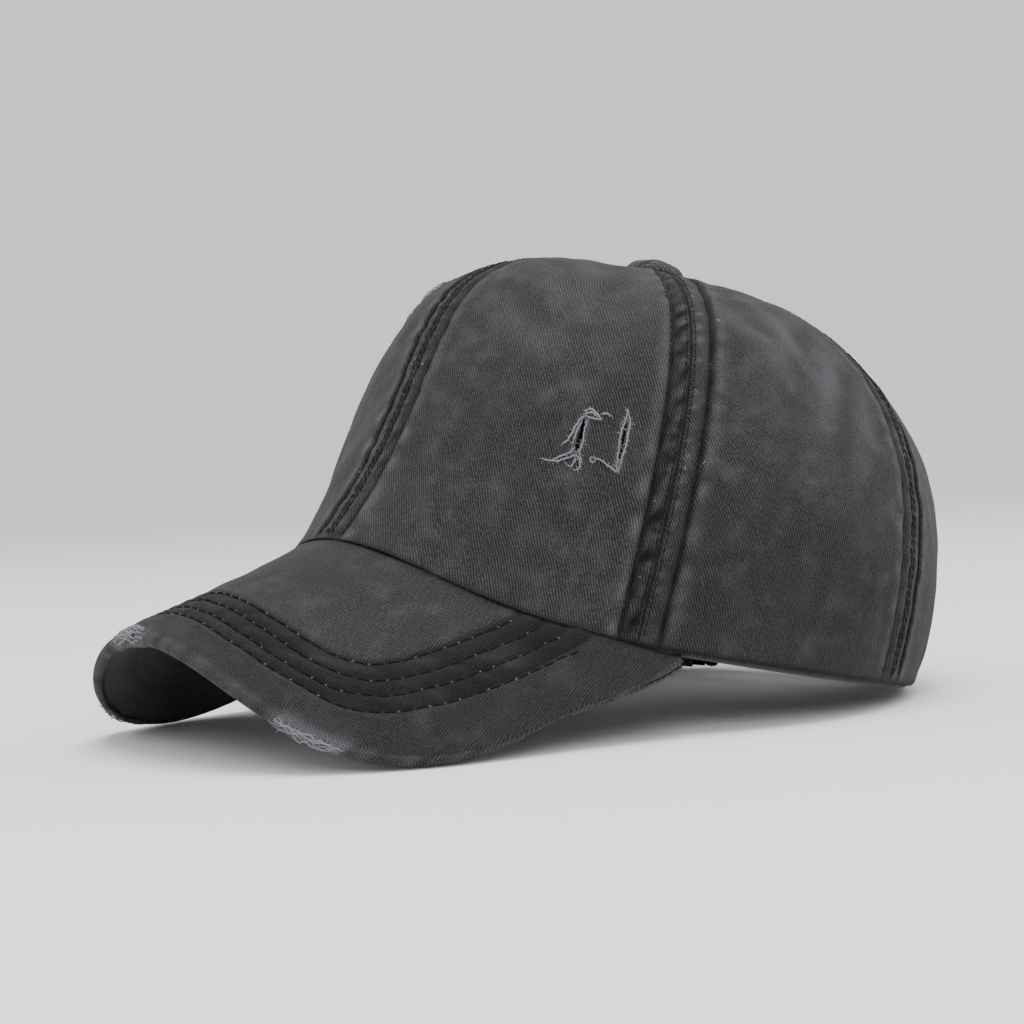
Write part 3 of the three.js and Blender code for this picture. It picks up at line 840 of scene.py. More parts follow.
# Tears of the front panels: places as azimuth and share, then half width in mm
TEARS = [
    ([(38.5, 0.303), (38.2, 0.272), (38.0, 0.245)], 0.85),
    ([(45.6, 0.304), (45.5, 0.27), (45.3, 0.228)], 0.5),
    ([(-36.5, 0.654), (-30, 0.662), (-22, 0.674)], 0.9),
    ([(-37, 0.594), (-30, 0.606), (-23.5, 0.612)], 0.9),
]


def on_crown(line):
    """A line given as azimuth in degrees and share, as points in level millimetres."""
    azimuth, share = np.array(line, float).T
    return wall(np.radians(azimuth), share, 0.0)


def panel_middle(from_edge, to_edge):
    """Width of a panel and length up it, as tables over the share of the way up."""
    share = np.linspace(0, PANEL_TOP, 120)
    a, b = from_edge(share), to_edge(share)
    middle = crown((a + b) / 2, share)
    width = np.abs(b - a) * off_centre(middle, share)
    up = lengths_along(middle)
    return share, width, up


# Panels narrower than this, near the button, have their seam bands squeezed
FULL_WIDTH = 26.4
# Wall thickness of each cloth in mm
THICKNESS = {"panel": 1.15, "strap": 1.2, "brim": 1.2, "underside": 1.4, "sweatband": 1.2}


def crown_panel(node, from_edge, to_edge, bound, slant, tones, seed, material):
    """A sewn crown panel between two edge lines; bound is True when its second edge is bound."""
    columns, rows = 92, 168
    bm = pattern_grid(columns, rows)
    share_table, width_table, up_table = panel_middle(from_edge, to_edge)
    index = np.arange(len(SEAM_COLUMNS))
    inner = len(SEAM_COLUMNS) - 1
    row_index = np.concatenate([np.arange(len(RIM_ROWS)), [rows]])
    row_share = np.concatenate([RIM_ROWS, [PANEL_TOP]])

    def places(flat):
        share = np.interp(flat[:, 1] * rows, row_index, row_share)
        width = np.interp(share, share_table, width_table)
        squeeze = np.minimum(1, width / FULL_WIDTH)
        column = flat[:, 0] * columns
        near = np.interp(column, index, SEAM_COLUMNS) * squeeze
        far = width - np.interp(columns - column, index, SEAM_COLUMNS) * squeeze
        last = SEAM_COLUMNS[-1] * squeeze
        middle = last + (width - 2 * last) * (column - inner) / (columns - 2 * inner)
        at = np.where(column <= inner, near, np.where(column >= columns - inner, far, middle))
        at = SEAM_GAP + at * (1 - 2 * SEAM_GAP / width)
        a, b = from_edge(share), to_edge(share)
        return a + (b - a) * at / width, share, at, width

    def to_mm(flat):
        azimuth, share, _, _ = places(flat)
        return crown(azimuth, share)

    tears = [(on_crown(line), half) for line, half in TEARS]
    open_slits(bm, tears, to_mm)
    flat = flat_points(bm)
    azimuth, share, at, width = places(flat)
    base = crown(azimuth, share)
    up = np.interp(share, share_table, up_table)
    squeeze = np.minimum(1, width / FULL_WIDTH)
    near, far = at / squeeze, (width - at) / squeeze
    lift = read_table(SEAM_LIFT, near) + read_table(BOUND_LIFT if bound else SEAM_LIFT, far)
    lift = lift * (0.4 + 0.6 * squeeze)
    for distance, part in ((near, 1), (far, 2)):
        strength = 0.1 if bound and part == 2 else 0.16
        spread = hill(distance - 4.5, 5.0)
        lift = lift + strength * spread * ripple(up, seed * 7 + part, 9.0)
    signed = np.sign(to_edge(0.3) - from_edge(0.3)) * (at - width / 2)
    inside = smooth(np.minimum(near, far) / 16)
    soft = 0.35 * rumple(signed, up, seed + 40, 34.0) + 0.1 * rumple(signed, up, seed + 60, 13.0)
    lift = lift + inside * soft
    crease_tone = 0 * lift
    for line, depth, half in CREASES:
        reach, along = distance_to_line(base, on_crown(line))
        fade = np.sin(np.pi * np.clip(along, 0.03, 0.97)) ** 0.6
        lift = lift - depth * fade * hill(reach, half)
        lift = lift + 0.45 * depth * fade * hill(reach - 1.9 * half, half)
        crease_tone = crease_tone + fade * hill(reach - 1.7 * half, half)
    rim_lift = read_table(RIM_LIFT, up)
    lip = lips(base, tears)
    lift = lift + 0.35 * lip
    raised = (lift + fold_lift(azimuth, share)) * smooth(up / 7)
    point = base + crown_normal(azimuth, share) * raised[:, None]
    point = point - inward(azimuth, share) * rim_lift[:, None]
    move_points(bm, at_rest(point))
    face_out(bm, crown_normal(azimuth, share))

    gap = np.minimum(near, np.where(bound, 99, far))
    # Painted shade in the topstitched groove beside each seam
    groove_shade = hill(gap - 5.6, 1.15) * (0.86 + 0.12 * ripple(up, seed + 3, 12.0))
    tone = np.where(near < far, tones[0], tones[1])
    creased = 0.75 + 0.6 * rumple(at * 1.3, up, seed + 9, 6.0)
    band = tone * (1 - smooth((gap - 5.0) / 1.2)) * creased
    # Painted shade over the lower part of the side and back panels
    low = tones[2] * (1 - smooth((up - 25) / 35))
    centre = 0.9 * hill(gap, 0.45)
    # Painted shade where the panel tucks under its binding
    binding_shadow = hill(far, 1.6) * 0.5 * bound
    # Painted shadow along the rim at the foot of each panel, where it meets the brim
    rim_shadow = 0.85 * hill(up, 1.5)
    dark = clamp(np.maximum.reduce([groove_shade, band, centre, binding_shadow, rim_shadow, low]))
    ridge = hill(gap - 8.0, 1.7) * clamp(0.45 + 0.3 * ripple(up, seed + 5, 8.0))
    band_ridge = 0.75 * hill(gap - 2.0, 1.0) * clamp(ripple(up, seed + 6, 4.5))
    pale = clamp(np.maximum.reduce([ridge, band_ridge, 0.4 * crease_tone, lip]))
    mottle = clamp(0.45 + 0.25 * rumple(signed, up, seed + 13, 22.0))
    write_layers(bm, cloth_uv(signed, up, slant), dark * (1 - lip), pale, mottle)
    return make_piece(bm, node + "_cloth", material, node, THICKNESS["panel"])


def seam_line(seam, side):
    return lambda share: side * seam_at(seam, share)


def bound_line(column, side):
    """Edge of a back panel, tucked a little under its binding."""
    clearance = BINDING["width"] / 2 - 0.5
    return lambda share: side * opening_edge(column, share, clearance)


# How dark a panel's turned-in bands at its first and second edge are, and painted shade low on it
FRONT_TONES, SIDE_TONES, BACK_TONES = (0.4, 0.62, 0.0), (0.0, 0.4, 0.27), (0.4, 0.0, 0.15)


def edge_lines(side, column):
    """The edges that part the panels on one side, from the front round to the back."""
    seams = [seam_line(seam, side) for seam in (CENTRE_SEAM, FRONT_SEAM, BACK_SEAM)]
    return seams + [bound_line(column, side)]


LEFT, RIGHT = edge_lines(1, 1), edge_lines(-1, 2)
# Each panel's node, its two edges, whether it is bound, the slant of its wales and its tones
PANELS = [
    ("panel_front_left", *LEFT[0:2], False, 118, FRONT_TONES),
    ("panel_front_right", *RIGHT[0:2], False, 118, FRONT_TONES),
    ("panel_side_left", *LEFT[1:3], False, 116, SIDE_TONES),
    ("panel_side_right", *RIGHT[1:3], False, 108, SIDE_TONES),
    ("panel_back_left", *LEFT[2:4], True, 108, BACK_TONES),
    ("panel_back_right", *RIGHT[2:4], True, 135, BACK_TONES),
]
SEAM_SIDES = [(CENTRE_SEAM, 1), (FRONT_SEAM, 1), (FRONT_SEAM, -1), (BACK_SEAM, 1), (BACK_SEAM, -1)]

# The rolls run on past their solids, the left one under the button, the right one under the left.
# Each has its column in OPENING, its side, its top, how wide its flap is, and how deep, from where
# and over what share its end sinks.
ROLLS = {
    "opening_binding_left": (1, 1, 0.985, 1.0, 0.7, 0.88, 0.06),
    "opening_binding_right": (2, -1, 0.855, 0.25, 1.1, 0.8, 0.04),
}


def ribbon_frame(column, side, share):
    """Middle line of a binding with its directions out of the crown and across the ribbon."""

    def line(at):
        return crown(side * back_azimuth(at, look_up(OPENING, column, at)), at)

    azimuth = side * back_azimuth(share, look_up(OPENING, column, share))
    normal = crown_normal(azimuth, share)
    along = unit(line(share + 0.01) - line(np.maximum(share - 0.01, 0)))
    return line(share), normal, unit(np.cross(along, normal))


def opening_binding(node, material, seed):
    """A rolled strip of twill along one edge of the opening, like a soft rope of cloth."""
    column, side, top, wide, sunk, sink_from, sink_over = ROLLS[node]
    around, rows = 26, 300
    bm = pattern_grid(around, rows)
    flat = flat_points(bm)
    share = top * flat[:, 1]
    turn = flat[:, 0] * 2 * math.pi
    middle, normal, across = ribbon_frame(column, side, share)
    table = np.linspace(0, top, 200)
    line = ribbon_frame(column, side, table)[0]
    walked = lengths_along(line)
    up = np.interp(share, table, walked)
    flap = (1 - smooth((share - 0.14) / 0.07)) * wide
    half = (2.0 + 1.3 * flap) * (1 + 0.08 * ripple(up, seed, 17.0))
    thick = 1.3 - 0.25 * flap
    end = np.minimum(np.minimum(up, walked[-1] - up) / 1.2, 1)
    cap = np.sqrt(np.clip(1 - (1 - end) ** 2, 1e-4, 1))
    lean = np.sin(up * 2 * math.pi / 3.4 + 2.2 * np.cos(turn) + 0.8 * ripple(up, seed + 1, 9.0))
    rib = 0.035 * lean * clamp(np.sin(turn))
    ridges = flap * 0.28 * np.cos(np.cos(turn) * 9.0) * clamp(np.sin(turn))
    puffed = 1 + 0.12 * np.abs(np.cos(turn)) ** 3
    sway = 0.22 * ripple(up, seed + 2, 26.0)
    side_step = np.cos(turn) * half * cap + sway
    rise = np.sin(turn) * thick * puffed * cap + rib + ridges
    sink = sunk * smooth((share - sink_from) / sink_over)
    point = middle + across * side_step[:, None] + normal * (0.05 + rise - sink)[:, None]
    move_points(bm, at_rest(point))
    crest = hill(np.cos(turn) + 0.35, 0.4)
    pale = clamp(0.1 + 0.5 * crest + 0.06 * lean + 0.18 * ripple(up, seed + 3, 9.0))
    # Painted shade, deepest on the half of the roll that faces the crown
    dark = np.clip(0.75 - 0.95 * np.sin(turn) + 0.2 * ripple(up, seed + 4, 7.0), 0.08, 0.85)
    mottle = clamp(0.6 + 0.4 * ripple(up, seed + 5, 10.0))
    write_layers(bm, cloth_uv(side_step + turn, up, 125), dark, pale, mottle)
    bmesh.ops.remove_doubles(bm, verts=bm.verts, dist=0.00001)
    bmesh.ops.holes_fill(bm, edges=[edge for edge in bm.edges if edge.is_boundary], sides=0)
    bmesh.ops.recalc_face_normals(bm, faces=bm.faces)
    smooth_faces(bm)
    return make_piece(bm, node + "_roll", material, node)


def strap_edge(share, end_share, flat, depth):
    """A line across the opening from the left binding to the right one, flatter than the crown."""
    share, end_share = float(share), float(end_share)
    left = wall(back_azimuth(end_share, look_up(OPENING, 1, end_share) + 0.8), end_share, depth)
    right = wall(-back_azimuth(end_share, look_up(OPENING, 2, end_share) + 0.8), end_share, depth)
    middle = wall(math.pi, share, flat + depth)
    control = 2 * middle - 0.5 * left - 0.5 * right
    return left, control, right


def strap_surface(row, depth, at, v):
    """Point and outward normal of a strap at a share along it and a share up it."""
    at, v = arrays(at, v)
    low, high, end_low, end_high, flat = row
    levels = [
        strap_edge(low + (high - low) * k, end_low + (end_high - end_low) * k, flat, depth)
        for k in (0.0, 0.5, 1.0)
    ]

    def spot(t):
        shares = ((1 - t) ** 2)[..., None], (2 * t * (1 - t))[..., None], (t * t)[..., None]
        lines = [a * shares[0] + c * shares[1] + b * shares[2] for a, c, b in levels]
        weights = [(1 - v) * (1 - 2 * v), 4 * v * (1 - v), v * (2 * v - 1)]
        return sum(line * w[..., None] for line, w in zip(lines, weights)), lines[2] - lines[0]

    point, upward = spot(at)
    ahead, _ = spot(at + 0.01)
    behind, _ = spot(at - 0.01)
    return point, unit(np.cross(ahead - behind, upward))


def strap_size(row, depth):
    at = np.linspace(0, 1, 60)
    line, _ = strap_surface(row, depth, at, 0.5)
    length = float(np.linalg.norm(np.diff(line, axis=0), axis=1).sum())
    ends = strap_surface(row, depth, 0.5, np.array([0.0, 1.0]))[0]
    return length, float(np.linalg.norm(ends[1] - ends[0]))


# Height of the straps' cloth by distance from an edge: rolled hem and its row of stitches
STRAP_HEM = [(0, -0.55), (0.25, 0.05), (0.9, 0.5), (1.5, 0.35), (2, -0.4), (3.2, 0)]
STRAP_TOP = [(0, -0.5), (0.3, 0), (0.9, 0.22), (1.5, 0.12), (2.1, -0.16), (3, 0)]
CLOSURE_EDGE = [(0, -0.6), (0.3, -0.05), (1, 0.32), (2.6, 0.3), (3.9, -0.22), (4.4, -0.2)]
CLOSURE_EDGE += [(5.2, 0.15), (7, 0)]
TAPE_EDGE = [(0, -0.4), (0.4, 0), (1.2, 0)]
# Place of each row of stitches from a strap's lower edge, its upper edge and the closure's edge
HEM_ROW, TOP_ROW, CLOSURE_STITCH = 2.0, 2.1, 4.1


def cloth_strap(node, row, seed, material):
    """A flat cloth strap with a rolled hem along its lower edge and a narrower one on top."""
    columns, rows = 150, 52
    bm = pattern_grid(columns, rows)
    pattern = flat_points(bm)
    at, v = pattern[:, 0], pattern[:, 1]
    length, width = strap_size(row, UNDER_BINDING)
    along, up = at * length, v * width
    base, normal = strap_surface(row, UNDER_BINDING, at, v)
    bow = 0.55 * (1 - (2 * v - 1) ** 2)
    hem = read_table(STRAP_HEM, up) * (1 + 0.3 * ripple(along, seed + 1, 9.0))
    folds = 0.24 * rumple(along, up * 1.6, seed, 17.0)
    folds = folds + 0.12 * rumple(along * 1.5, up, seed + 4, 7.0)
    lift = bow + hem + read_table(STRAP_TOP, width - up) + folds * smooth(up / 3)
    move_points(bm, at_rest(base + normal * lift[:, None]))
    # Painted shade in the stitch grooves, over darker mottling
    groove = hill(up - HEM_ROW, 0.5) + 0.6 * hill(width - up - TOP_ROW, 0.5)
    dark = 0.85 * clamp(groove) + 0.55 * clamp(rumple(along, up * 0.8, seed + 2, 13.0) - 0.1)
    crest = hill(up - 0.9, 0.6) + 0.5 * hill(width - up - 0.8, 0.5)
    pale = clamp(crest * (0.6 + 0.3 * ripple(along, seed + 3, 6.0)))
    mottle = clamp(0.65 + 0.4 * rumple(along, up, seed + 8, 15.0))
    write_layers(bm, cloth_uv(-along, up, 145), dark, pale, mottle)
    return make_piece(bm, node + "_cloth", material, node, THICKNESS["strap"])


# Straps: shares of the way up at the low and high edge in the middle, then at the ends, and how
# much flatter than the crown the strap is
STRAPS = [
    ("strap_lower", (0.253, 0.368, 0.208, 0.32, 3.2)),
    ("strap_middle", (0.482, 0.585, 0.424, 0.54, 2.6)),
    ("strap_upper", (0.667, 0.76, 0.625, 0.73, 1.6)),
]
CLOSURE_ROW = (0.012, 0.15, 0.004, 0.12, 3.0)
TAPE_ROW = (0.016, 0.148, 0.008, 0.118, 3.0)
CLOSURE = {"end": 0.93, "slant": 0.02, "hidden": 0.3, "tape_end": 1.035}


def closure_strap(material):
    columns, rows = 150, 50
    bm = pattern_grid(columns, rows)
    pattern = flat_points(bm)
    v = pattern[:, 1]
    at = pattern[:, 0] * (CLOSURE["end"] - CLOSURE["slant"] * (v - 0.5))
    length, width = strap_size(CLOSURE_ROW, UNDER_BINDING)
    along, up = at * length, v * width
    base, normal = strap_surface(CLOSURE_ROW, UNDER_BINDING, at, v)
    to_end = (pattern[:, 0].max() - pattern[:, 0]) * CLOSURE["end"] * length
    inset = np.minimum(np.minimum(up, width - up), to_end)
    bow = 0.5 * (1 - (2 * v - 1) ** 2)
    folds = 0.22 * rumple(along, up, 71, 15.0) + 0.12 * rumple(along, up, 72, 7.0)
    lift = bow + read_table(CLOSURE_EDGE, inset) + folds * smooth(inset / 3)
    move_points(bm, at_rest(base + normal * lift[:, None]))
    # Painted shade in the stitch groove, over darker mottling
    groove = hill(inset - CLOSURE_STITCH, 0.6)
    dark = 0.6 * groove + 0.3 * clamp(rumple(along, up, 73, 12.0) - 0.4)
    crest = hill(inset - 1.0, 0.8) + 0.45 * hill(inset - 5.6, 0.8)
    pale = clamp(crest * (0.6 + 0.3 * ripple(along + up, 74, 6.0)))
    mottle = clamp(0.65 + 0.4 * rumple(along, up, 75, 14.0))
    write_layers(bm, cloth_uv(-along, up, 145), dark, pale, mottle)
    name, thickness = "closure_strap", THICKNESS["strap"]
    return make_piece(bm, name + "_cloth", material, name, thickness)


def loop_tape(material):
    """The dark woven tape from the right binding that the closing strap lies on."""
    columns, rows = 120, 40
    bm = pattern_grid(columns, rows)
    pattern = flat_points(bm)
    v = pattern[:, 1]
    at = CLOSURE["hidden"] + (CLOSURE["tape_end"] - CLOSURE["hidden"]) * pattern[:, 0]
    depth = UNDER_BINDING + STRAP_THICKNESS + GAP + 0.1
    length, width = strap_size(TAPE_ROW, depth)
    along, up = at * length, v * width
    base, normal = strap_surface(TAPE_ROW, depth, at, v)
    loops = 0.16 * rumple(along, up, 81, 1.6)
    edge = read_table(TAPE_EDGE, np.minimum(up, width - up))
    lift = 0.45 * (1 - (2 * v - 1) ** 2) + loops + edge
    move_points(bm, at_rest(base + normal * lift[:, None]))
    zeros = 0 * v
    write_layers(bm, cloth_uv(-along, up, 90), zeros, zeros, zeros + 0.2)
    node, thickness = "closure_understrap", THICKNESS["strap"]
    return make_piece(bm, "closure_loop_tape", material, node, thickness)


# Half rows of stitches round the brim from the middle to the joint: across and reach in mm
BRIM_ROWS = [
    [(0, 36), (12, 36.6), (24, 36.8), (34, 36), (42.2, 33.9), (48.3, 29.7), (51.7, 22.4)]
    + [(53.7, 12.6), (55, 4), (55.8, -6), (56.2, -15), (56.6, -26)],
    [(0, 40.8), (12, 41.3), (24, 41.6), (35, 40.8), (42.3, 39.2), (49, 35.5), (53.6, 30)]
    + [(56.1, 21.3), (58, 11.9), (59.1, 2), (60.1, -9.4), (60.6, -19), (60.9, -30)],
    [(0, 45.6), (12, 46.2), (24, 46.7), (34, 46), (42.2, 44.2), (49.5, 41.3), (54.4, 36.2)]
    + [(58, 29.3), (60, 20.1), (61.9, 10.7), (63.4, -5.2), (64.4, -22.1), (64.9, -34)],
    [(0, 50), (12, 50.6), (24, 50.9), (37.2, 49.6), (45.3, 47.2), (52.2, 44.1), (57.2, 39.4)]
    + [(60.8, 32.7), (63.2, 23.7), (65, 14.4), (66.8, -0.9), (68.3, -23.9), (68.9, -38)],
]
# The rows run round this place on the middle line, in mm of reach
ROW_CENTRE = -40.0
# Radius of the rolled outer edge, and how closely the grid's rows gather towards it
EDGE_ROLL, EDGE_CROWDING = 1.9, 1.15
# Height of the brim's cloth by distance from its joint with the crown
JOINT_LIFT = [(0, 0.25), (1.4, 0.5), (3.5, 0.2), (8, 0)]

# Slashes in the brim cover, as place across and reach forward in mm, then half width
BRIM_SLASHES = [
    ([(-46.6, 3.6), (-39, 2.6), (-31.6, 0.8)], 1.0),
    ([(-48.7, 21.9), (-41, 20.8), (-33.3, 18.6)], 1.1),
]
EDGE_SLOTS = [
    ([(-14, 61.3), (-8, 61.7), (-1, 61.6)], 0.75),
    ([(-63, 50.0), (-60, 51.6)], 0.6),
]
# Frayed rim of the slot in the front edge of the brim, and the thread left across it
SLOT_RIM = [
    [(-15.6, 61.2), (-12, 60.3), (-8, 60.0), (-3.5, 60.2), (0.6, 60.9)],
    [(-15.4, 61.6), (-12, 62.9), (-8, 63.2), (-3.4, 63.0), (0.6, 61.6)],
    [(-13.4, 61.4), (-9, 61.2), (-4.6, 61.9), (-1.2, 61.9)],
]
# Worn-through places on the brim's outer edge: place across in mm, and half length
EDGE_WEAR = [(-6.5, 9.0), (-61.5, 5.5), (56.0, 6.0)]
# Threads along them, in the middle and at the corners: how far under the top, and what share long
MIDDLE_RINGS = ((1.3, 1.0), (2.3, 0.85))
CORNER_RINGS = ((0.2, 0.9), (1.0, 1.0), (1.9, 0.95), (2.7, 0.8))
# Threads that hang from the slashes, as place across and reach forward in mm
HANGING_THREADS = [
    [(-49.3, 22.4), (-48.4, 30), (-47.1, 37), (-49.5, 36.6), (-52.4, 34.2)],
    [(-42.1, 19.5), (-43.6, 23), (-44.5, 26.5)],
    [(-46.6, 3.6), (-48.2, 6.4), (-48.0, 9.0)],
]


def half_row(row, steps=80):
    table = np.column_stack([np.arange(len(row)), np.array(row, float)])
    at = np.linspace(0, len(row) - 1, steps)
    return stack(look_up(table, 1, at), look_up(table, 2, at))


def brim_row(row, steps=80):
    """A row of stitches on the flat board, from the joint round the front to the joint."""
    half = half_row(row, steps)
    return np.concatenate([half[:0:-1] * [-1, 1], half])


def row_scale(x, reach, row):
    """1 on a row of stitches, less inside it and more outside it."""
    half = half_row(row)
    line = np.hypot(half[:, 0], half[:, 1] - ROW_CENTRE)
    turns = np.arctan2(half[:, 0], half[:, 1] - ROW_CENTRE)
    return np.hypot(x, reach - ROW_CENTRE) / np.interp(
        np.arctan2(np.abs(x), reach - ROW_CENTRE), turns, line
    )


def inside_brim(line):
    """Keeps the part of a line on the flat board that lies in front of the joint."""
    x, reach = line[:, 0], line[:, 1]
    azimuth = np.linspace(-0.98, 0.98, 200)
    joint_x, joint_y = rim_plan(azimuth)
    joint = np.interp(x, joint_x, brim_reach(joint_x, joint_y))
    return line[reach > joint - 1.5]


def brim_pattern(flat, rows, roll_rows):
    """Places of the brim cover's grid: along, out, and the turn of its rolled outer edge."""
    row, last = flat[:, 1] * rows, rows - roll_rows
    out = 1 - (1 - clamp(row / last)) ** EDGE_CROWDING
    return 2 * flat[:, 0] - 1, out, clamp((row - last) / roll_rows)


def brim_cover(material):
    """Twill over the top of the brim, rolled over its edge, quilted by four rows of stitches."""
    columns, rows, roll_rows = 270, 112, 10
    bm = pattern_grid(columns, rows)

    def to_mm(flat):
        along, out, _ = brim_pattern(flat, rows, roll_rows)
        return brim_top(along, out)

    slashes = [(on_board(line), half) for line, half in BRIM_SLASHES + EDGE_SLOTS]
    open_slits(bm, slashes, to_mm)
    along, out, roll = brim_pattern(flat_points(bm), rows, roll_rows)
    x, reach, lift = brim_flat(along, out)
    place = stack(x, reach)
    base = board_point(x, reach, lift)
    normal = brim_normal(along, out)
    step = 0.01
    near = np.clip(out, 0.06, 0.985)
    outward = unit(brim_top(along, near + step) - brim_top(along, near - step))
    outward = unit(outward - normal * np.sum(outward * normal, axis=-1, keepdims=True))
    edge_x, edge_reach, _ = brim_flat(along, 1 + 0 * out)
    to_edge = np.hypot(edge_x - x, edge_reach - reach)
    joint_x, joint_reach, _ = brim_flat(along, 0 * out)
    to_joint = np.hypot(x - joint_x, reach - joint_reach)

    raised = groove = ridge = 0 * out
    for k, row in enumerate(BRIM_ROWS):
        reach_to, run = distance_to_line(place, inside_brim(brim_row(row)))
        ends = smooth(run / 0.004) * smooth((1 - run) / 0.004)
        groove = np.maximum(groove, hill(reach_to, 0.75) * ends)
        ridge = np.maximum(ridge, hill(reach_to - 2.0, 0.9) * ends)
        raised = raised + 0.12 * hill(reach_to - 2, 1.2) * ripple(run * 230, 31 + k, 6.0)
    soft = 0.22 * rumple(x, reach, 33, 30.0) + 0.1 * rumple(x, reach, 34, 11.0)
    raised = raised - 0.42 * groove + 0.18 * ridge + soft * smooth(to_edge / 8)
    raised = raised + read_table(JOINT_LIFT, to_joint)
    lip = lips(base, slashes)
    raised = raised + 0.35 * lip
    taper = smooth((1 - np.abs(along)) / 0.3)
    radius = EDGE_ROLL * (0.12 + 0.88 * taper)
    inset = hill(to_edge, 3.5) * radius
    turn = roll * math.radians(172)
    point = base - outward * (inset * (1 - np.sin(turn)))[:, None]
    drop = radius * (1 - np.cos(turn)) * (roll > 0)
    wear = np.zeros(len(x))
    for centre, half in EDGE_WEAR:
        rubbed = smooth((half + 1.5 - np.abs(edge_x - centre)) / 2.0)
        wear = np.maximum(wear, rubbed * (edge_reach > 0))
    worn = wear * hill(to_edge, 4.0)
    frayed = 0.22 * rumple(x * 2.4, reach * 2.4 + roll * 9, 35, 3.0)
    raised = raised * (1 - smooth((roll - 0.1) / 0.3)) - 0.45 * worn + frayed * worn
    point = point + normal * (raised - drop)[:, None]
    point = point - normal * (0.25 * radius * hill(to_edge, 2.2))[:, None]
    move_points(bm, at_rest(point))

    scale_in = row_scale(x, reach, BRIM_ROWS[0])
    scale_out = row_scale(x, reach, BRIM_ROWS[-1])
    zone = smooth((scale_in - 0.975) / 0.035) * (1 - smooth((scale_out - 0.99) / 0.035))
    patchy = clamp(0.9 + 0.16 * rumple(x, reach, 36, 14.0))
    outer = smooth((scale_out - 1.0) / 0.02)
    # Darker band between the rows and past the outer row; painted shade in the stitch grooves
    dark = np.maximum.reduce([0.76 * zone * patchy, 0.34 * outer, 0.85 * groove])
    # Painted shadow along the brim's joint with the crown
    dark = np.maximum(dark, 0.85 * hill(to_joint, 1.6))
    edge_pale = hill(to_edge, 2.2) * clamp(0.5 + 0.3 * ripple(along * 190, 37, 9.0))
    rubbed = 0.4 * ridge * clamp(ripple(x + reach, 38, 6.0)) * zone
    pale = clamp(np.maximum.reduce([edge_pale, rubbed, lip, 1.2 * worn]))
    mottle = clamp(0.35 + 0.25 * rumple(x, reach, 39, 20.0))
    arc = x * (1 + (BRIM["curl"] * x) ** 2 / 6)
    uv = cloth_uv(arc, -(reach + radius * turn), 110)
    write_layers(bm, uv, dark * (1 - lip) * (1 - worn), pale, mottle)
    face_out(bm, normal)
    name, thickness = "brim_cover", THICKNESS["brim"]
    return make_piece(bm, name + "_cloth", material, name, thickness)


def brim_underside(material):
    """Olive twill under the brim, with the same rows of stitches."""
    columns, rows = 170, 60
    bm = pattern_grid(columns, rows)
    flat = flat_points(bm)
    along, out = 2 * flat[:, 0] - 1, flat[:, 1]
    x, reach, lift = brim_flat(along, out * 0.985)
    base = board_point(x, reach, lift)
    square = brim_normal(along, out)
    blend = smooth(out / 0.25) * (1 - smooth((np.abs(along) - 0.86) / 0.12))
    down = unit(stack(0, 0, 1) * (1 - blend[:, None]) + square * blend[:, None])
    stretch = np.minimum(1 / np.sum(down * square, axis=-1), 1.6)
    groove = 0 * out
    place = stack(x, reach)
    for row in BRIM_ROWS:
        reach_to, _ = distance_to_line(place, inside_brim(brim_row(row)))
        groove = np.maximum(groove, hill(reach_to, 0.8))
    board = 1.5 + 2.2 * smooth((1 - np.abs(along)) / 0.3)
    depth = (board - 0.15 * groove + 0.12 * rumple(x, reach, 43, 14.0)) * stretch
    depth = depth - 0.9 * np.exp(-(((1 - out) * 40) ** 2))
    move_points(bm, at_rest(base - down * depth[:, None]))
    face_out(bm, -square)
    pale = 0.5 * np.exp(-(((1 - out) * 30) ** 2))
    mottle = clamp(0.4 + 0.25 * rumple(x, reach, 45, 18.0))
    # Painted shade in the stitch grooves
    write_layers(bm, cloth_uv(x, reach, 70), 0.3 * groove, pale, mottle)
    name, thickness = "brim_underside", THICKNESS["underside"]
    return make_piece(bm, name + "_cloth", material, name, thickness)


# Height of the sweatband in mm, and its hems by distance from its lower edge
BAND_HEIGHT = 30.0
BAND_HEM = [(0, 0.6), (0.4, 0.1), (1.5, -0.3), (2.6, -0.2), (3.2, 0.3), (4.5, 0), (26, 0)]
BAND_HEM += [(27, 0.3), (28.5, -0.2), (30, 0.2)]


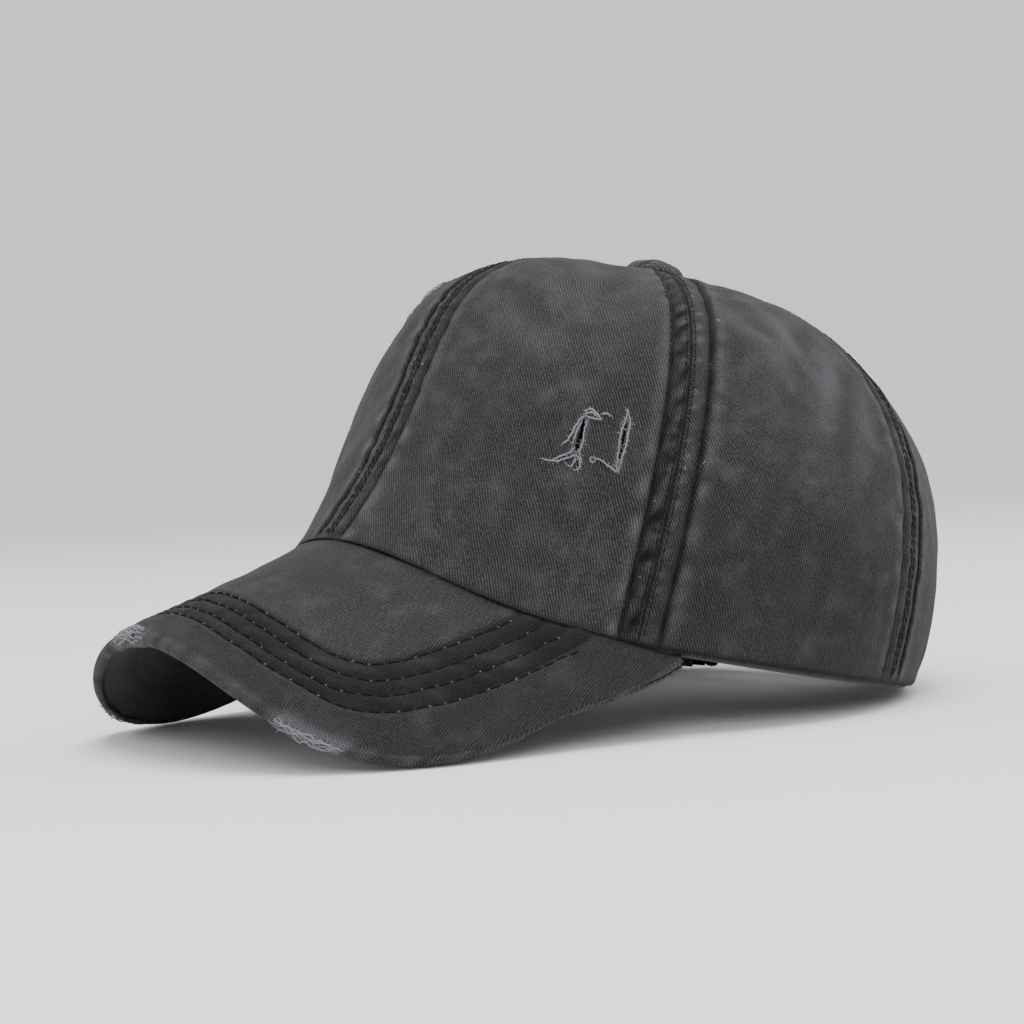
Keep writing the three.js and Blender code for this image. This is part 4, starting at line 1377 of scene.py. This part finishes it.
def sweatband(material):
    """Folded band inside the rim, from one side of the opening round the front to the other."""
    columns, rows = 260, 30
    bm = pattern_grid(columns, rows)
    flat = flat_points(bm)
    start = -opening_edge(2, 0.05, BINDING["width"] / 2 + GAP) + 0.02
    stop = opening_edge(1, 0.05, BINDING["width"] / 2 + GAP) - 0.02
    azimuth = start + (stop - start) * flat[:, 0]
    share_table = np.linspace(0, 0.4, 90)
    turns = np.linspace(float(start), float(stop), 120)
    heights = [
        np.interp(BAND_HEIGHT, lengths_along(crown(turn, share_table)), share_table)
        for turn in turns
    ]
    share = np.interp(azimuth, turns, heights) * flat[:, 1]
    up = BAND_HEIGHT * flat[:, 1]
    front = 1 - smooth((np.abs(azimuth) - math.radians(40)) / math.radians(22))
    drop = (0.35 + 2.9 * front) * hill(up, 2.5)
    along = azimuth * 95
    ripples = 0.25 * ripple(along, 51, 13.0) * np.sin(np.pi * flat[:, 1])
    depth = WALL + 0.9 + np.clip(ripples - read_table(BAND_HEM, up), -0.6, 0.6)
    point = wall(azimuth, share, depth) - stack(0, 0, 1) * drop[:, None]
    move_points(bm, at_rest(point))
    # Painted shade in the hem's stitch groove
    groove = hill(up - 3.2, 0.5)
    pale = 0.5 * hill(up, 1.0) * (0.6 + 0.4 * ripple(along, 52, 7.0))
    mottle = clamp(0.5 + 0.3 * ripple(along, 53, 20.0))
    write_layers(bm, cloth_uv(along, up, 60), 0.5 * groove, clamp(pale), mottle)
    name, thickness = "sweatband", THICKNESS["sweatband"]
    return make_piece(bm, name + "_cloth", material, name, thickness)


def covered_button(material):
    """A domed button covered with a disc of faded twill, gathered under its rim."""
    steps, side = 18, 0.6
    outline = [(0, 0), (BUTTON["radius"] * 0.96, 0)]
    for i in range(steps + 1):
        turn = math.radians(90 * i / steps)
        radius = BUTTON["radius"] * math.cos(turn) ** 0.75 if i < steps else 0.0
        outline.append((radius, side + (BUTTON["height"] - side) * math.sin(turn)))
    bm = lathe(outline, 72, 0.0005)
    local = flat_points(bm)
    turn = np.arctan2(local[:, 1], local[:, 0])
    radius = np.hypot(local[:, 0], local[:, 1])
    outer = smooth((radius - 4.5) / 4)
    gathers = 0.22 * outer * ripple(turn * 9, 61, 2.2)
    gathers = gathers + 0.18 * rumple(local[:, 0], local[:, 1], 62, 7.0)
    outward = unit(local - np.array([0, 0, -4.0]))
    raised = local + outward * np.where(local[:, 2] > 0.3, gathers, 0)[:, None]
    seat = np.array([0, BUTTON_BACK_OFFSET, CROWN_HEIGHT + BUTTON["lift"]])
    move_points(bm, at_rest(seat + raised))
    # Painted shade towards the foot of the button, under its dome
    low = 1 - smooth(local[:, 2] / 2.2)
    pale = clamp(0.4 + 0.3 * ripple(turn * 9 + radius, 63, 6.0))
    mottle = 0.6 + 0 * pale
    write_layers(bm, cloth_uv(local[:, 0], local[:, 1], 40), 0.7 * low, pale, mottle)
    return make_piece(bm, "covered_button", material, "top_button")


def seam_stitches():
    """Fine stitches beside each crown seam and in its topstitched channels."""
    fine = []
    tree = cloth_tree(*(panel[0] + "_cloth" for panel in PANELS))
    share = np.linspace(0.012, 0.93, 420)
    for seam, side in SEAM_SIDES:
        azimuth = side * seam_at(seam, share)
        radius = off_centre(crown(azimuth, share), share)
        for distance, end in ((-1.2, 0.9), (1.2, 0.9), (-5.8, 0.8), (5.8, 0.8)):
            line = crown(azimuth + distance / radius, share)[share < end]
            fine += sew(tree, line, 2.6, 0.75, 0.17, 0.14)
    return fine


# Length of a stitch and its gap in the brim's rows, in mm
BRIM_STITCH = 4.3


def quilting_lines():
    return [on_board(inside_brim(brim_row(row, 250))) for row in BRIM_ROWS]


def brim_stitches():
    heavy = []
    tree = cloth_tree("brim_cover_cloth")
    for line in quilting_lines():
        heavy += sew(tree, line, BRIM_STITCH, 0.8, 0.24, 0.18)
    return heavy


def needle_lint():
    """Pale lint pushed up between the brim's stitches, where the needle went through."""
    draw = np.random.default_rng(94)
    tree = cloth_tree("brim_cover_cloth")
    made = []
    step = int(round(BRIM_STITCH / SEWING_STEP))
    for row in quilting_lines():
        line, normal = on_cloth(tree, walk(row, SEWING_STEP))
        for start in range(0, len(line) - step, step):
            if draw.random() < 0.45:
                continue
            at = start + int(0.9 * step)
            turn = unit(np.cross(normal[at], draw.normal(0, 1, 3))) * draw.uniform(0.15, 0.32) * MM
            rise = normal[at] * draw.uniform(0.14, 0.24) * MM
            low = line[at] + 0.4 * rise
            speck = np.array([low - turn, line[at] + rise, low + turn])
            made.append((speck, draw.uniform(0.06, 0.12)))
    return made


def strap_stitches():
    rows = []
    for node, row in STRAPS:
        tree = cloth_tree(node + "_cloth")
        _, width = strap_size(row, UNDER_BINDING)
        at = np.linspace(0.03, 0.97, 160)
        for up in (HEM_ROW, width - TOP_ROW):
            point, _ = strap_surface(row, UNDER_BINDING, at, up / width)
            rows += sew(tree, point, 3.0, 0.75, 0.2, 0.16)
    length, width = strap_size(CLOSURE_ROW, UNDER_BINDING)
    left, right = CLOSURE_STITCH / length, CLOSURE["end"] - CLOSURE_STITCH / length
    bottom, top = CLOSURE_STITCH / width, 1 - CLOSURE_STITCH / width
    tree = cloth_tree("closure_strap_cloth")
    corners = [(left, bottom), (right, bottom), (right - 0.008, top), (left, top)]
    ring = np.array(corners + corners[:1])
    for a, b in zip(ring[:-1], ring[1:]):
        t = np.linspace(0, 1, 140)[:, None]
        run = a + (b - a) * t
        point, _ = strap_surface(CLOSURE_ROW, UNDER_BINDING, run[:, 0], run[:, 1])
        rows += sew(tree, point, 3.2, 0.78, 0.22, 0.18)
    return rows


def loose_thread(tree, points, radius, seed, wander=0.35, lift=(0.2, 1.0)):
    """A frayed thread over the cloth, with small kinks, whose middle stands off it."""
    draw = np.random.default_rng(seed)
    line, normal = on_cloth(tree, walk(points, FRAYING_STEP))
    t = np.linspace(0, 1, len(line))
    side = np.cross(normal, unit(np.gradient(line, axis=0) + 1e-9))
    run = t * len(line) * FRAYING_STEP
    kink = wander * ripple(run, seed, 4.0) * np.sin(np.pi * np.clip(t, 0.05, 1)) ** 0.3
    height = lift[0] + (lift[1] - lift[0]) * np.sin(np.pi * t) + 0.1 * ripple(run, seed + 1, 3.0)
    moved = line + (side * kink[:, None] + normal * height[:, None]) * MM
    return moved, radius * (0.7 + 0.3 * np.sin(np.pi * t)) * draw.uniform(0.9, 1.1)


def hairs(tree, line, per_mm, length, seed):
    """Short fibres standing off a torn edge in all directions."""
    draw = np.random.default_rng(seed)
    base, normal = on_cloth(tree, walk(line, 1 / per_mm))
    t = np.linspace(0, 1, 4)[:, None]
    made = []
    for spot, out in zip(base, normal):
        across = unit(np.cross(out, draw.normal(0, 1, 3)))
        bend = np.cross(out, across) * draw.normal(0, 0.5)
        reach = draw.uniform(*length) * MM
        rise = out * draw.uniform(0.2, 0.9) * np.sin(1.6 * t)
        fibre = spot + draw.normal(0, 0.2, 3) * MM + reach * (across * t + bend * t * t + rise)
        made.append((fibre, draw.uniform(0.05, 0.1)))
    return made


# Threads of the torn places on the front panels, as azimuth and share, then radius in mm
TORN_THREADS = [
    ([(38.2, 0.316), (39.0, 0.322), (40.0, 0.316), (41.2, 0.306)], 0.3),
    ([(38.3, 0.311), (39.4, 0.315), (40.6, 0.308)], 0.26),
    ([(38.5, 0.308), (39.8, 0.304), (41.2, 0.304)], 0.26),
    ([(41.0, 0.314), (42.0, 0.316), (43.0, 0.312)], 0.2),
    ([(38.2, 0.306), (37.5, 0.296), (36.8, 0.276), (36.2, 0.262), (35.5, 0.256)], 0.3),
    ([(38.0, 0.298), (37.5, 0.274), (37.0, 0.258)], 0.2),
    ([(38.8, 0.302), (38.8, 0.282), (38.8, 0.264), (38.6, 0.246), (39, 0.236)]
     + [(39.2, 0.228)], 0.2),
    ([(32.5, 0.226), (33.8, 0.224), (35.5, 0.226), (36.8, 0.234), (38.0, 0.24)], 0.26),
    ([(34.0, 0.225), (35.0, 0.23), (36.2, 0.238), (37.2, 0.244), (37.5, 0.25)], 0.22),
    ([(37.0, 0.222), (37.8, 0.22), (38.2, 0.23), (37.8, 0.238)], 0.2),
    ([(38.2, 0.216), (39.0, 0.218), (39.2, 0.226), (38.8, 0.234), (38.0, 0.24)], 0.2),
    ([(45.5, 0.328), (45.5, 0.312), (45.2, 0.296), (45, 0.274), (45.1, 0.254)]
     + [(45.2, 0.222)], 0.2),
    ([(45.5, 0.328), (46.2, 0.306), (46.2, 0.286), (46.1, 0.266), (45.8, 0.244)]
     + [(45.5, 0.222)], 0.22),
    ([(45.5, 0.22), (44.5, 0.224), (43.0, 0.232), (41.8, 0.238), (41.0, 0.24)], 0.22),
    ([(41, 0.24), (40.5, 0.238), (40.5, 0.234), (41, 0.23), (41.3, 0.234), (41.3, 0.238)]
     + [(41, 0.24)], 0.2),
]
# Rows of pale threads left in the worn patch on the wearer's right of the front
PATCH_ROWS = [
    ([(-37.2, 0.666), (-30, 0.678), (-19.5, 0.702)], 0.016, 9),
    ([(-34, 0.638), (-27, 0.648), (-18.2, 0.662)], 0.012, 6),
    ([(-38.5, 0.61), (-30, 0.622), (-21.8, 0.638)], 0.014, 8),
    ([(-39.8, 0.566), (-31.8, 0.572), (-21, 0.58)], 0.012, 7),
]


def torn_threads():
    """The threads round the tears on the wearer's left, each with its fluff."""
    tree = cloth_tree("panel_front_left_cloth")
    made = [
        loose_thread(tree, on_crown(line), radius, 200 + k, 0.1, (0.1, 0.5))
        for k, (line, radius) in enumerate(TORN_THREADS)
    ]
    for k, (line, _) in enumerate(TORN_THREADS):
        made += hairs(tree, on_crown(line), 3.0, (0.3, 0.9), 240 + k)
    return made


def along_line(line, t):
    """Both numbers of a line of three places, at shares of the way along it."""
    return [np.interp(t, [0, 0.5, 1], column) for column in np.array(line, float).T]


def patch_threads():
    """Pale warp threads lying across the worn patch, with a fringe hanging from each row."""
    draw = np.random.default_rng(91)
    tree = cloth_tree("panel_front_right_cloth")
    made = []
    for row, (line, spread, count) in enumerate(PATCH_ROWS):
        for k in range(count):
            step = spread * (k / max(count - 1, 1) - 0.5)
            start, end = draw.uniform(-0.06, 0.12), draw.uniform(0.82, 1.05)
            azimuth, share = along_line(line, np.linspace(start, end, 5))
            azimuth = azimuth + draw.normal(0, 0.15, 5)
            share = share + step + draw.normal(0, 0.0015, 5)
            thread, radius = on_crown(stack(azimuth, share)), draw.uniform(0.15, 0.27)
            seed = 300 + 20 * row + k
            made.append(loose_thread(tree, thread, radius, seed, 0.3, (0.1, 0.6)))
        for k in range(15):
            azimuth, share = along_line(line, draw.uniform(0.02, 0.98))
            share = share - spread / 2
            fall = draw.uniform(0.014, 0.04)
            thread = [
                (azimuth, share + 0.006),
                (azimuth + draw.normal(0, 0.3), share - fall * 0.5),
                (azimuth + draw.normal(0, 0.7), share - fall),
            ]
            thread, radius = on_crown(thread), draw.uniform(0.1, 0.18)
            seed = 500 + 20 * row + k
            made.append(loose_thread(tree, thread, radius, seed, 0.25, (0.1, 0.5)))
    return made


def brim_fray():
    """Threads across the slashes in the brim, hanging from them, and along its worn edge."""
    draw = np.random.default_rng(92)
    made = []
    tree = cloth_tree("brim_cover_cloth")

    def over_board(line, radius, seed, wander=0.3, lift=(0.15, 0.6)):
        made.append(loose_thread(tree, on_board(line), radius, seed, wander, lift))

    for row, (line, half) in enumerate(BRIM_SLASHES):
        for k in range(16):
            offset = draw.normal(0, half * 0.8)
            start, end = clamp(draw.uniform(-0.15, 0.5)), draw.uniform(0.6, 1.08)
            x, reach = along_line(line, np.linspace(start, end, 4))
            reach = reach + offset + draw.normal(0, 0.2, 4)
            over_board(stack(x, reach), draw.uniform(0.13, 0.24), 700 + 20 * row + k)
        for k in range(14):
            x, reach = along_line(line, draw.uniform(0, 1))
            fall = draw.uniform(1.2, 3.6)
            thread = [
                (x, reach - 0.8),
                (x + draw.normal(0, 0.5), reach + fall / 2),
                (x + draw.normal(0, 1), reach + fall),
            ]
            over_board(thread, draw.uniform(0.1, 0.16), 760 + 20 * row + k, 0.2, (0.3, 0.6))
    for k, line in enumerate(HANGING_THREADS):
        over_board(line, 0.2, 800 + k, 0.4)
    for ring, line in enumerate(SLOT_RIM):
        for k in range(3):
            beside = np.array(line, float) + [0, 0.35 * (k - 1)]
            over_board(beside, draw.uniform(0.17, 0.26), 860 + 5 * ring + k, 0.22, (0.15, 0.4))
        made += hairs(tree, on_board(line), 1.6, (0.3, 0.9), 880 + ring)
    for spot, (centre, half) in enumerate(EDGE_WEAR):
        for ring, (height, tight) in enumerate(MIDDLE_RINGS if spot == 0 else CORNER_RINGS):
            x = centre + np.linspace(-half, half, 12) * tight
            half_along = np.interp(np.abs(x), OUTLINE[:220, 0], WALKED[:220] / WALKED[-1])
            along = half_along * np.sign(x)
            wave = 0.35 * ripple(x, 820 + 9 * spot + ring, 5.0)
            end, number = 1 + 0 * along, 9 * spot + ring
            edge = brim_top(along, end) - brim_normal(along, end) * (height + wave)[:, None]
            radius = draw.uniform(0.16, 0.26)
            made.append(loose_thread(tree, edge, radius, 830 + number, 0.35, (0.1, 0.5)))
            made += hairs(tree, edge, 2.6, (0.3, 1.2), 900 + number)
    return made


def lint_specks():
    """Short pale fibres caught on the seams and in the folds."""
    draw = np.random.default_rng(93)
    tree = cloth_tree(*(panel[0] + "_cloth" for panel in PANELS))
    made = []
    for _ in range(60):
        seam, side = SEAM_SIDES[draw.integers(len(SEAM_SIDES))]
        share = draw.uniform(0.02, 0.85)
        azimuth = side * seam_at(seam, share) + draw.normal(0, 0.05)
        point, normal = on_cloth(tree, crown(azimuth, share).reshape(1, 3))
        point, normal = point[0] / MM, normal[0]
        turn = unit(np.cross(normal, draw.normal(0, 1, 3)))
        bend = unit(np.cross(normal, turn)) * draw.normal(0, 0.25)
        length = draw.uniform(0.3, 0.8)
        t = np.linspace(0, 1, 4)[:, None]
        bow = np.sin(np.pi * t)
        line = point + turn * t * length + bend * bow + normal * 0.15 * bow
        made.append((line * MM, draw.uniform(0.05, 0.11)))
    return made


def hex_colour(name, description, default):
    return bpy.props.StringProperty(
        name=name, description=description + ", sRGB hex", default=default
    )


class CapCloth(bpy.types.PropertyGroup):
    """Colours of the washed cloth."""

    dark: hex_colour("Dark charcoal", "Twill where the dye has stayed", "#1e1e1f")
    mid: hex_colour("Washed charcoal", "Twill where the dye has faded", "#29292b")
    pale: hex_colour("Worn grey", "Worn ridges and weft showing through", "#5c5d60")
    # Mixed in where the cloth is darker: dye kept in seams, and painted shade in grooves and at
    # joints
    seam_dye_and_shade: hex_colour("Seam dye and painted shade", "Dye kept in seams, with painted shade in grooves and at joints", "#0e0e0e")
    olive: hex_colour("Olive", "Twill of the sweatband and underside", "#3f403b")
    fray: hex_colour("Frayed cotton", "Loose threads of the tears", "#68696d")
    thread: hex_colour("Stitching", "Sewing thread", "#0b0b0c")
    tape: hex_colour("Loop tape", "Woven tape under the closing strap", "#1b1b1d")
    wale: bpy.props.FloatProperty(
        name="Wale spacing",
        description="Spacing of the twill lines in mm",
        default=0.74,
        min=0.4,
        max=3.0,
    )


class CapStage(bpy.types.PropertyGroup):
    """Floor and camera."""

    floor_radius: bpy.props.FloatProperty(
        name="Floor radius",
        description="Flat part of the pale floor",
        default=1.6,
        min=0.5,
        unit="LENGTH",
    )
    floor_colour: hex_colour("Floor colour", "Pale floor", "#f8f8f8")
    lens: bpy.props.FloatProperty(
        name="Lens",
        description="Focal length on a 36 mm sensor",
        default=80.9,
        min=20,
        subtype="DISTANCE_CAMERA",
    )


def hues():
    cloth = bpy.context.scene.cap_cloth
    names = ("dark", "mid", "pale", "seam_dye_and_shade", "olive", "fray", "thread", "tape")
    return {name: linear(getattr(cloth, name)) for name in names}


def charcoal_twill():
    """Washed cotton twill: matt charcoal with a salt-and-pepper grain that reads as worn denim."""
    c = hues()
    name = "charcoal_washed_cotton_twill"
    return bpy.data.materials.get(name) or twill(
        name, c["dark"], c["mid"], c["pale"], c["seam_dye_and_shade"], bpy.context.scene.cap_cloth.wale
    )


def faded_twill():
    """The same twill on the rolls and the button, rubbed paler and blotchier than the panels."""
    c = hues()
    name = "faded_cotton_twill"
    return bpy.data.materials.get(name) or twill(
        name, c["dark"], c["mid"], c["pale"], c["seam_dye_and_shade"], 0.8, 0.35, 60.0
    )


def olive_twill():
    """Lightweight cotton twill lining: flat olive-grey, finer and less worn than the outside."""
    olive = np.array(hues()["olive"])
    scale = np.array([0.75, 0.75, 0.75, 1.0])
    name = "olive_cotton_twill"
    return bpy.data.materials.get(name) or twill(
        name, list(olive * scale), list(olive), list(olive * 1.5), hues()["seam_dye_and_shade"], 0.8, 0.4
    )


def loop_tape_finish():
    """Brushed nylon loop tape: nearly black fuzz of tiny loops with a dull sheen."""
    name = "black_woven_loop_tape"
    if name in bpy.data.materials:
        return bpy.data.materials[name]
    material, tree, shader = new_material(name, Roughness=0.8, Sheen_Weight=0.3)
    cloth = add_node(tree, "UVMap", {}, uv_map="cloth")
    loops = add_node(tree, "TexVoronoi", {"Vector": cloth, "Scale": 1.1}, "Distance")
    fuzz = add_node(tree, "TexNoise", {"Vector": cloth, "Scale": 3.0, "Detail": 3.0}, "Fac")
    tape = hues()["tape"]
    lighter = [min(1, 3.2 * c) for c in tape[:3]] + [1.0]
    mixed = add_node(tree, "Mix", {0: fuzz, 6: tape, 7: lighter}, 2, data_type="RGBA")
    tree.links.new(mixed, shader.inputs["Base Color"])
    height = add_node(tree, "Math", {0: loops, 1: fuzz}, operation="ADD")
    bump = add_node(tree, "Bump", {"Height": height, "Strength": 0.8, "Distance": 0.0003})
    tree.links.new(bump, shader.inputs["Normal"])
    return material


def sewing_thread():
    """Spun polyester sewing thread: black with a faint gloss along each stitch."""
    name = "black_polyester_thread"
    return bpy.data.materials.get(name) or yarn(name, hues()["thread"], linear("#161617"))


def frayed_cotton():
    """Undyed core of the yarn where the twill has torn: soft pale grey fluff."""
    name = "frayed_cotton_yarn"
    return bpy.data.materials.get(name) or yarn(name, hues()["fray"], linear("#8d8e92"), 0.8)


class CAP_OT_panels(bpy.types.Operator):
    """Makes the six sewn crown panels with their seams, tears and creases"""

    bl_idname = "cap.panels"
    bl_label = "Crown panels"

    def execute(self, context):
        for seed, panel in enumerate(PANELS):
            crown_panel(*panel, seed * 11 + 5, charcoal_twill())
        return {"FINISHED"}


class CAP_OT_bindings(bpy.types.Operator):
    """Makes the rolled bindings of the back opening"""

    bl_idname = "cap.bindings"
    bl_label = "Opening bindings"

    def execute(self, context):
        for seed, node in enumerate(ROLLS, 21):
            opening_binding(node, faded_twill(), seed)
        return {"FINISHED"}


class CAP_OT_straps(bpy.types.Operator):
    """Makes the three straps across the opening and the closing strap with its tape"""

    bl_idname = "cap.straps"
    bl_label = "Straps"

    def execute(self, context):
        for seed, (node, row) in enumerate(STRAPS):
            cloth_strap(node, row, 100 + seed, charcoal_twill())
        closure_strap(charcoal_twill())
        loop_tape(loop_tape_finish())
        return {"FINISHED"}


class CAP_OT_brim(bpy.types.Operator):
    """Makes the quilted brim cover and the olive underside"""

    bl_idname = "cap.brim"
    bl_label = "Brim"

    def execute(self, context):
        brim_cover(charcoal_twill())
        brim_underside(olive_twill())
        return {"FINISHED"}


class CAP_OT_trim(bpy.types.Operator):
    """Makes the sweatband and the covered button"""

    bl_idname = "cap.trim"
    bl_label = "Sweatband and button"

    def execute(self, context):
        sweatband(olive_twill())
        covered_button(faded_twill())
        return {"FINISHED"}


class CAP_OT_stitching(bpy.types.Operator):
    """Sews the seams, the brim and the straps"""

    bl_idname = "cap.stitching"
    bl_label = "Stitching"

    def execute(self, context):
        for make in (seam_stitches, brim_stitches, strap_stitches):
            strands(make.__name__, make(), sewing_thread())
        return {"FINISHED"}


class CAP_OT_fraying(bpy.types.Operator):
    """Adds the pale threads of the tears, the worn brim edge and the lint"""

    bl_idname = "cap.fraying"
    bl_label = "Frayed threads"

    def execute(self, context):
        for name, lines in (
            ("torn_threads", torn_threads()),
            ("patch_threads", patch_threads()),
            ("brim_threads", brim_fray()),
            ("lint_specks", lint_specks() + needle_lint()),
        ):
            strands(name, lines, frayed_cotton())
        return {"FINISHED"}


# Where the photo's camera stood, in the level frame: bearing, height angle, roll, distance in mm
VIEW = {"azimuth": 52.02, "elevation": -5.83, "roll": 8.81, "distance": 693.65}
# The place aimed at, in level millimetres
AIM = np.array([0.0, -25.0, 45.0])
# The view in pixels: its size, its focal length, and where the place aimed at is seen
IMAGE = 1024
FOCAL = 2301.0
AIM_PIXEL = (574.0, 537.0)


def place_camera(lens):
    a, e, r = (math.radians(VIEW[key]) for key in ("azimuth", "elevation", "roll"))
    back = np.array([math.sin(a) * math.cos(e), -math.cos(a) * math.cos(e), math.sin(e)])
    right = np.array([math.cos(a), math.sin(a), 0.0])
    up = np.cross(back, right)
    turned_right = right * math.cos(r) + up * math.sin(r)
    turned_up = up * math.cos(r) - right * math.sin(r)
    axes = [Vector(tilt(axis)) for axis in (turned_right, turned_up, back)]
    turn = Matrix(axes).transposed()
    ahead = Vector((0, 0, -1))
    across, above = AIM_PIXEL[0] - IMAGE / 2, IMAGE / 2 - AIM_PIXEL[1]
    seen = Vector((across / FOCAL, above / FOCAL, -1)).normalized()
    turn = turn @ ahead.rotation_difference(seen).inverted().to_matrix()
    camera_data = bpy.data.cameras.new("studio_camera")
    camera_data.lens = lens
    camera_data.sensor_width = 36.0
    camera_data.clip_start = 0.01
    camera = place_object("studio_camera", camera_data)
    place = Vector(at_rest(AIM + back * VIEW["distance"]))
    camera.matrix_world = Matrix.Translation(place) @ turn.to_4x4()
    bpy.context.scene.camera = camera


def add_light(name, place, target, size, watts):
    data = bpy.data.lights.new(name, "AREA")
    data.shape = "DISK"
    data.size = size
    data.energy = watts
    aim = (Vector(target) - Vector(place)).to_track_quat("-Z", "Y")
    light = place_object(name, data)
    light.matrix_world = Matrix.Translation(place) @ aim.to_matrix().to_4x4()


def pale_floor(radius, colour):
    """A seamless paper floor that curves up into a wall on every side."""
    bend, wall_top = 0.9, 2.2
    outline = [(0.0, 0.0), (radius, 0.0)]
    outline += [
        (radius + bend * math.sin(math.radians(a)), bend * (1 - math.cos(math.radians(a))))
        for a in range(10, 91, 10)
    ]
    bm = lathe(outline + [(radius + bend, wall_top)], 96, 0.0001)
    lowest = min(bm.faces, key=lambda face: face.calc_center_median().z)
    if lowest.normal.z < 0:
        bmesh.ops.reverse_faces(bm, faces=bm.faces)
    smooth_faces(bm)
    material, tree, shader = new_material("matt_background_paper", Roughness=0.95)
    shader.inputs["Base Color"].default_value = colour
    place = add_node(tree, "TexCoord", {}, "Object")
    tooth = add_node(tree, "TexNoise", {"Vector": place, "Scale": 900.0, "Detail": 2.0}, "Fac")
    bump = add_node(tree, "Bump", {"Height": tooth, "Strength": 0.1, "Distance": 0.0002})
    tree.links.new(bump, shader.inputs["Normal"])
    mesh_object(bm, "paper_floor", material)


class CAP_OT_stage(bpy.types.Operator):
    """Makes the pale floor, soft lights and the camera at the photo's angle"""

    bl_idname = "cap.stage"
    bl_label = "Stage"

    def execute(self, context):
        stage = context.scene.cap_stage
        pale_floor(stage.floor_radius, linear(stage.floor_colour))
        place_camera(stage.lens)
        target = (0.0, 0.0, 0.06)
        add_light("overhead_softbox", (0.25, -0.1, 1.6), target, 1.2, 27.0)
        add_light("front_softbox", (1.15, -0.75, 0.95), target, 1.1, 11.0)
        add_light("side_softbox", (-1.1, -0.9, 0.9), target, 1.1, 6.0)
        add_light("rear_softbox", (0.3, 1.3, 1.0), target, 1.1, 7.0)
        world = bpy.data.worlds.new("studio_fill")
        world.use_nodes = True
        background = world.node_tree.nodes["Background"]
        background.inputs["Color"].default_value = (1.0, 1.0, 1.0, 1.0)
        background.inputs["Strength"].default_value = 0.42
        context.scene.world = world
        return {"FINISHED"}


STEPS = (
    CAP_OT_stage,
    CAP_OT_panels,
    CAP_OT_bindings,
    CAP_OT_straps,
    CAP_OT_brim,
    CAP_OT_trim,
    CAP_OT_stitching,
    CAP_OT_fraying,
)


class CAP_PT_sidebar(bpy.types.Panel):
    """Lists the steps that dress the cap"""

    bl_idname = "CAP_PT_sidebar"
    bl_label = "Cap"
    bl_space_type = "VIEW_3D"
    bl_region_type = "UI"
    bl_category = "Cap"

    def draw(self, context):
        for step in STEPS:
            self.layout.operator(step.bl_idname)
        for group in (context.scene.cap_cloth, context.scene.cap_stage):
            for key in group.bl_rna.properties.keys():
                if key not in {"rna_type", "name"}:
                    self.layout.prop(group, key)


CLASSES = (CapCloth, CapStage, *STEPS, CAP_PT_sidebar)


def register():
    for item in CLASSES:
        bpy.utils.register_class(item)
    bpy.types.Scene.cap_cloth = bpy.props.PointerProperty(type=CapCloth)
    bpy.types.Scene.cap_stage = bpy.props.PointerProperty(type=CapStage)


def unregister():
    del bpy.types.Scene.cap_stage
    del bpy.types.Scene.cap_cloth
    for item in reversed(CLASSES):
        bpy.utils.unregister_class(item)


def main():
    register()
    bpy.ops.cap.stage()
    bpy.ops.cap.panels()
    bpy.ops.cap.bindings()
    bpy.ops.cap.straps()
    bpy.ops.cap.brim()
    bpy.ops.cap.trim()
    bpy.ops.cap.stitching()
    bpy.ops.cap.fraying()


if __name__ == "__main__":
    main()
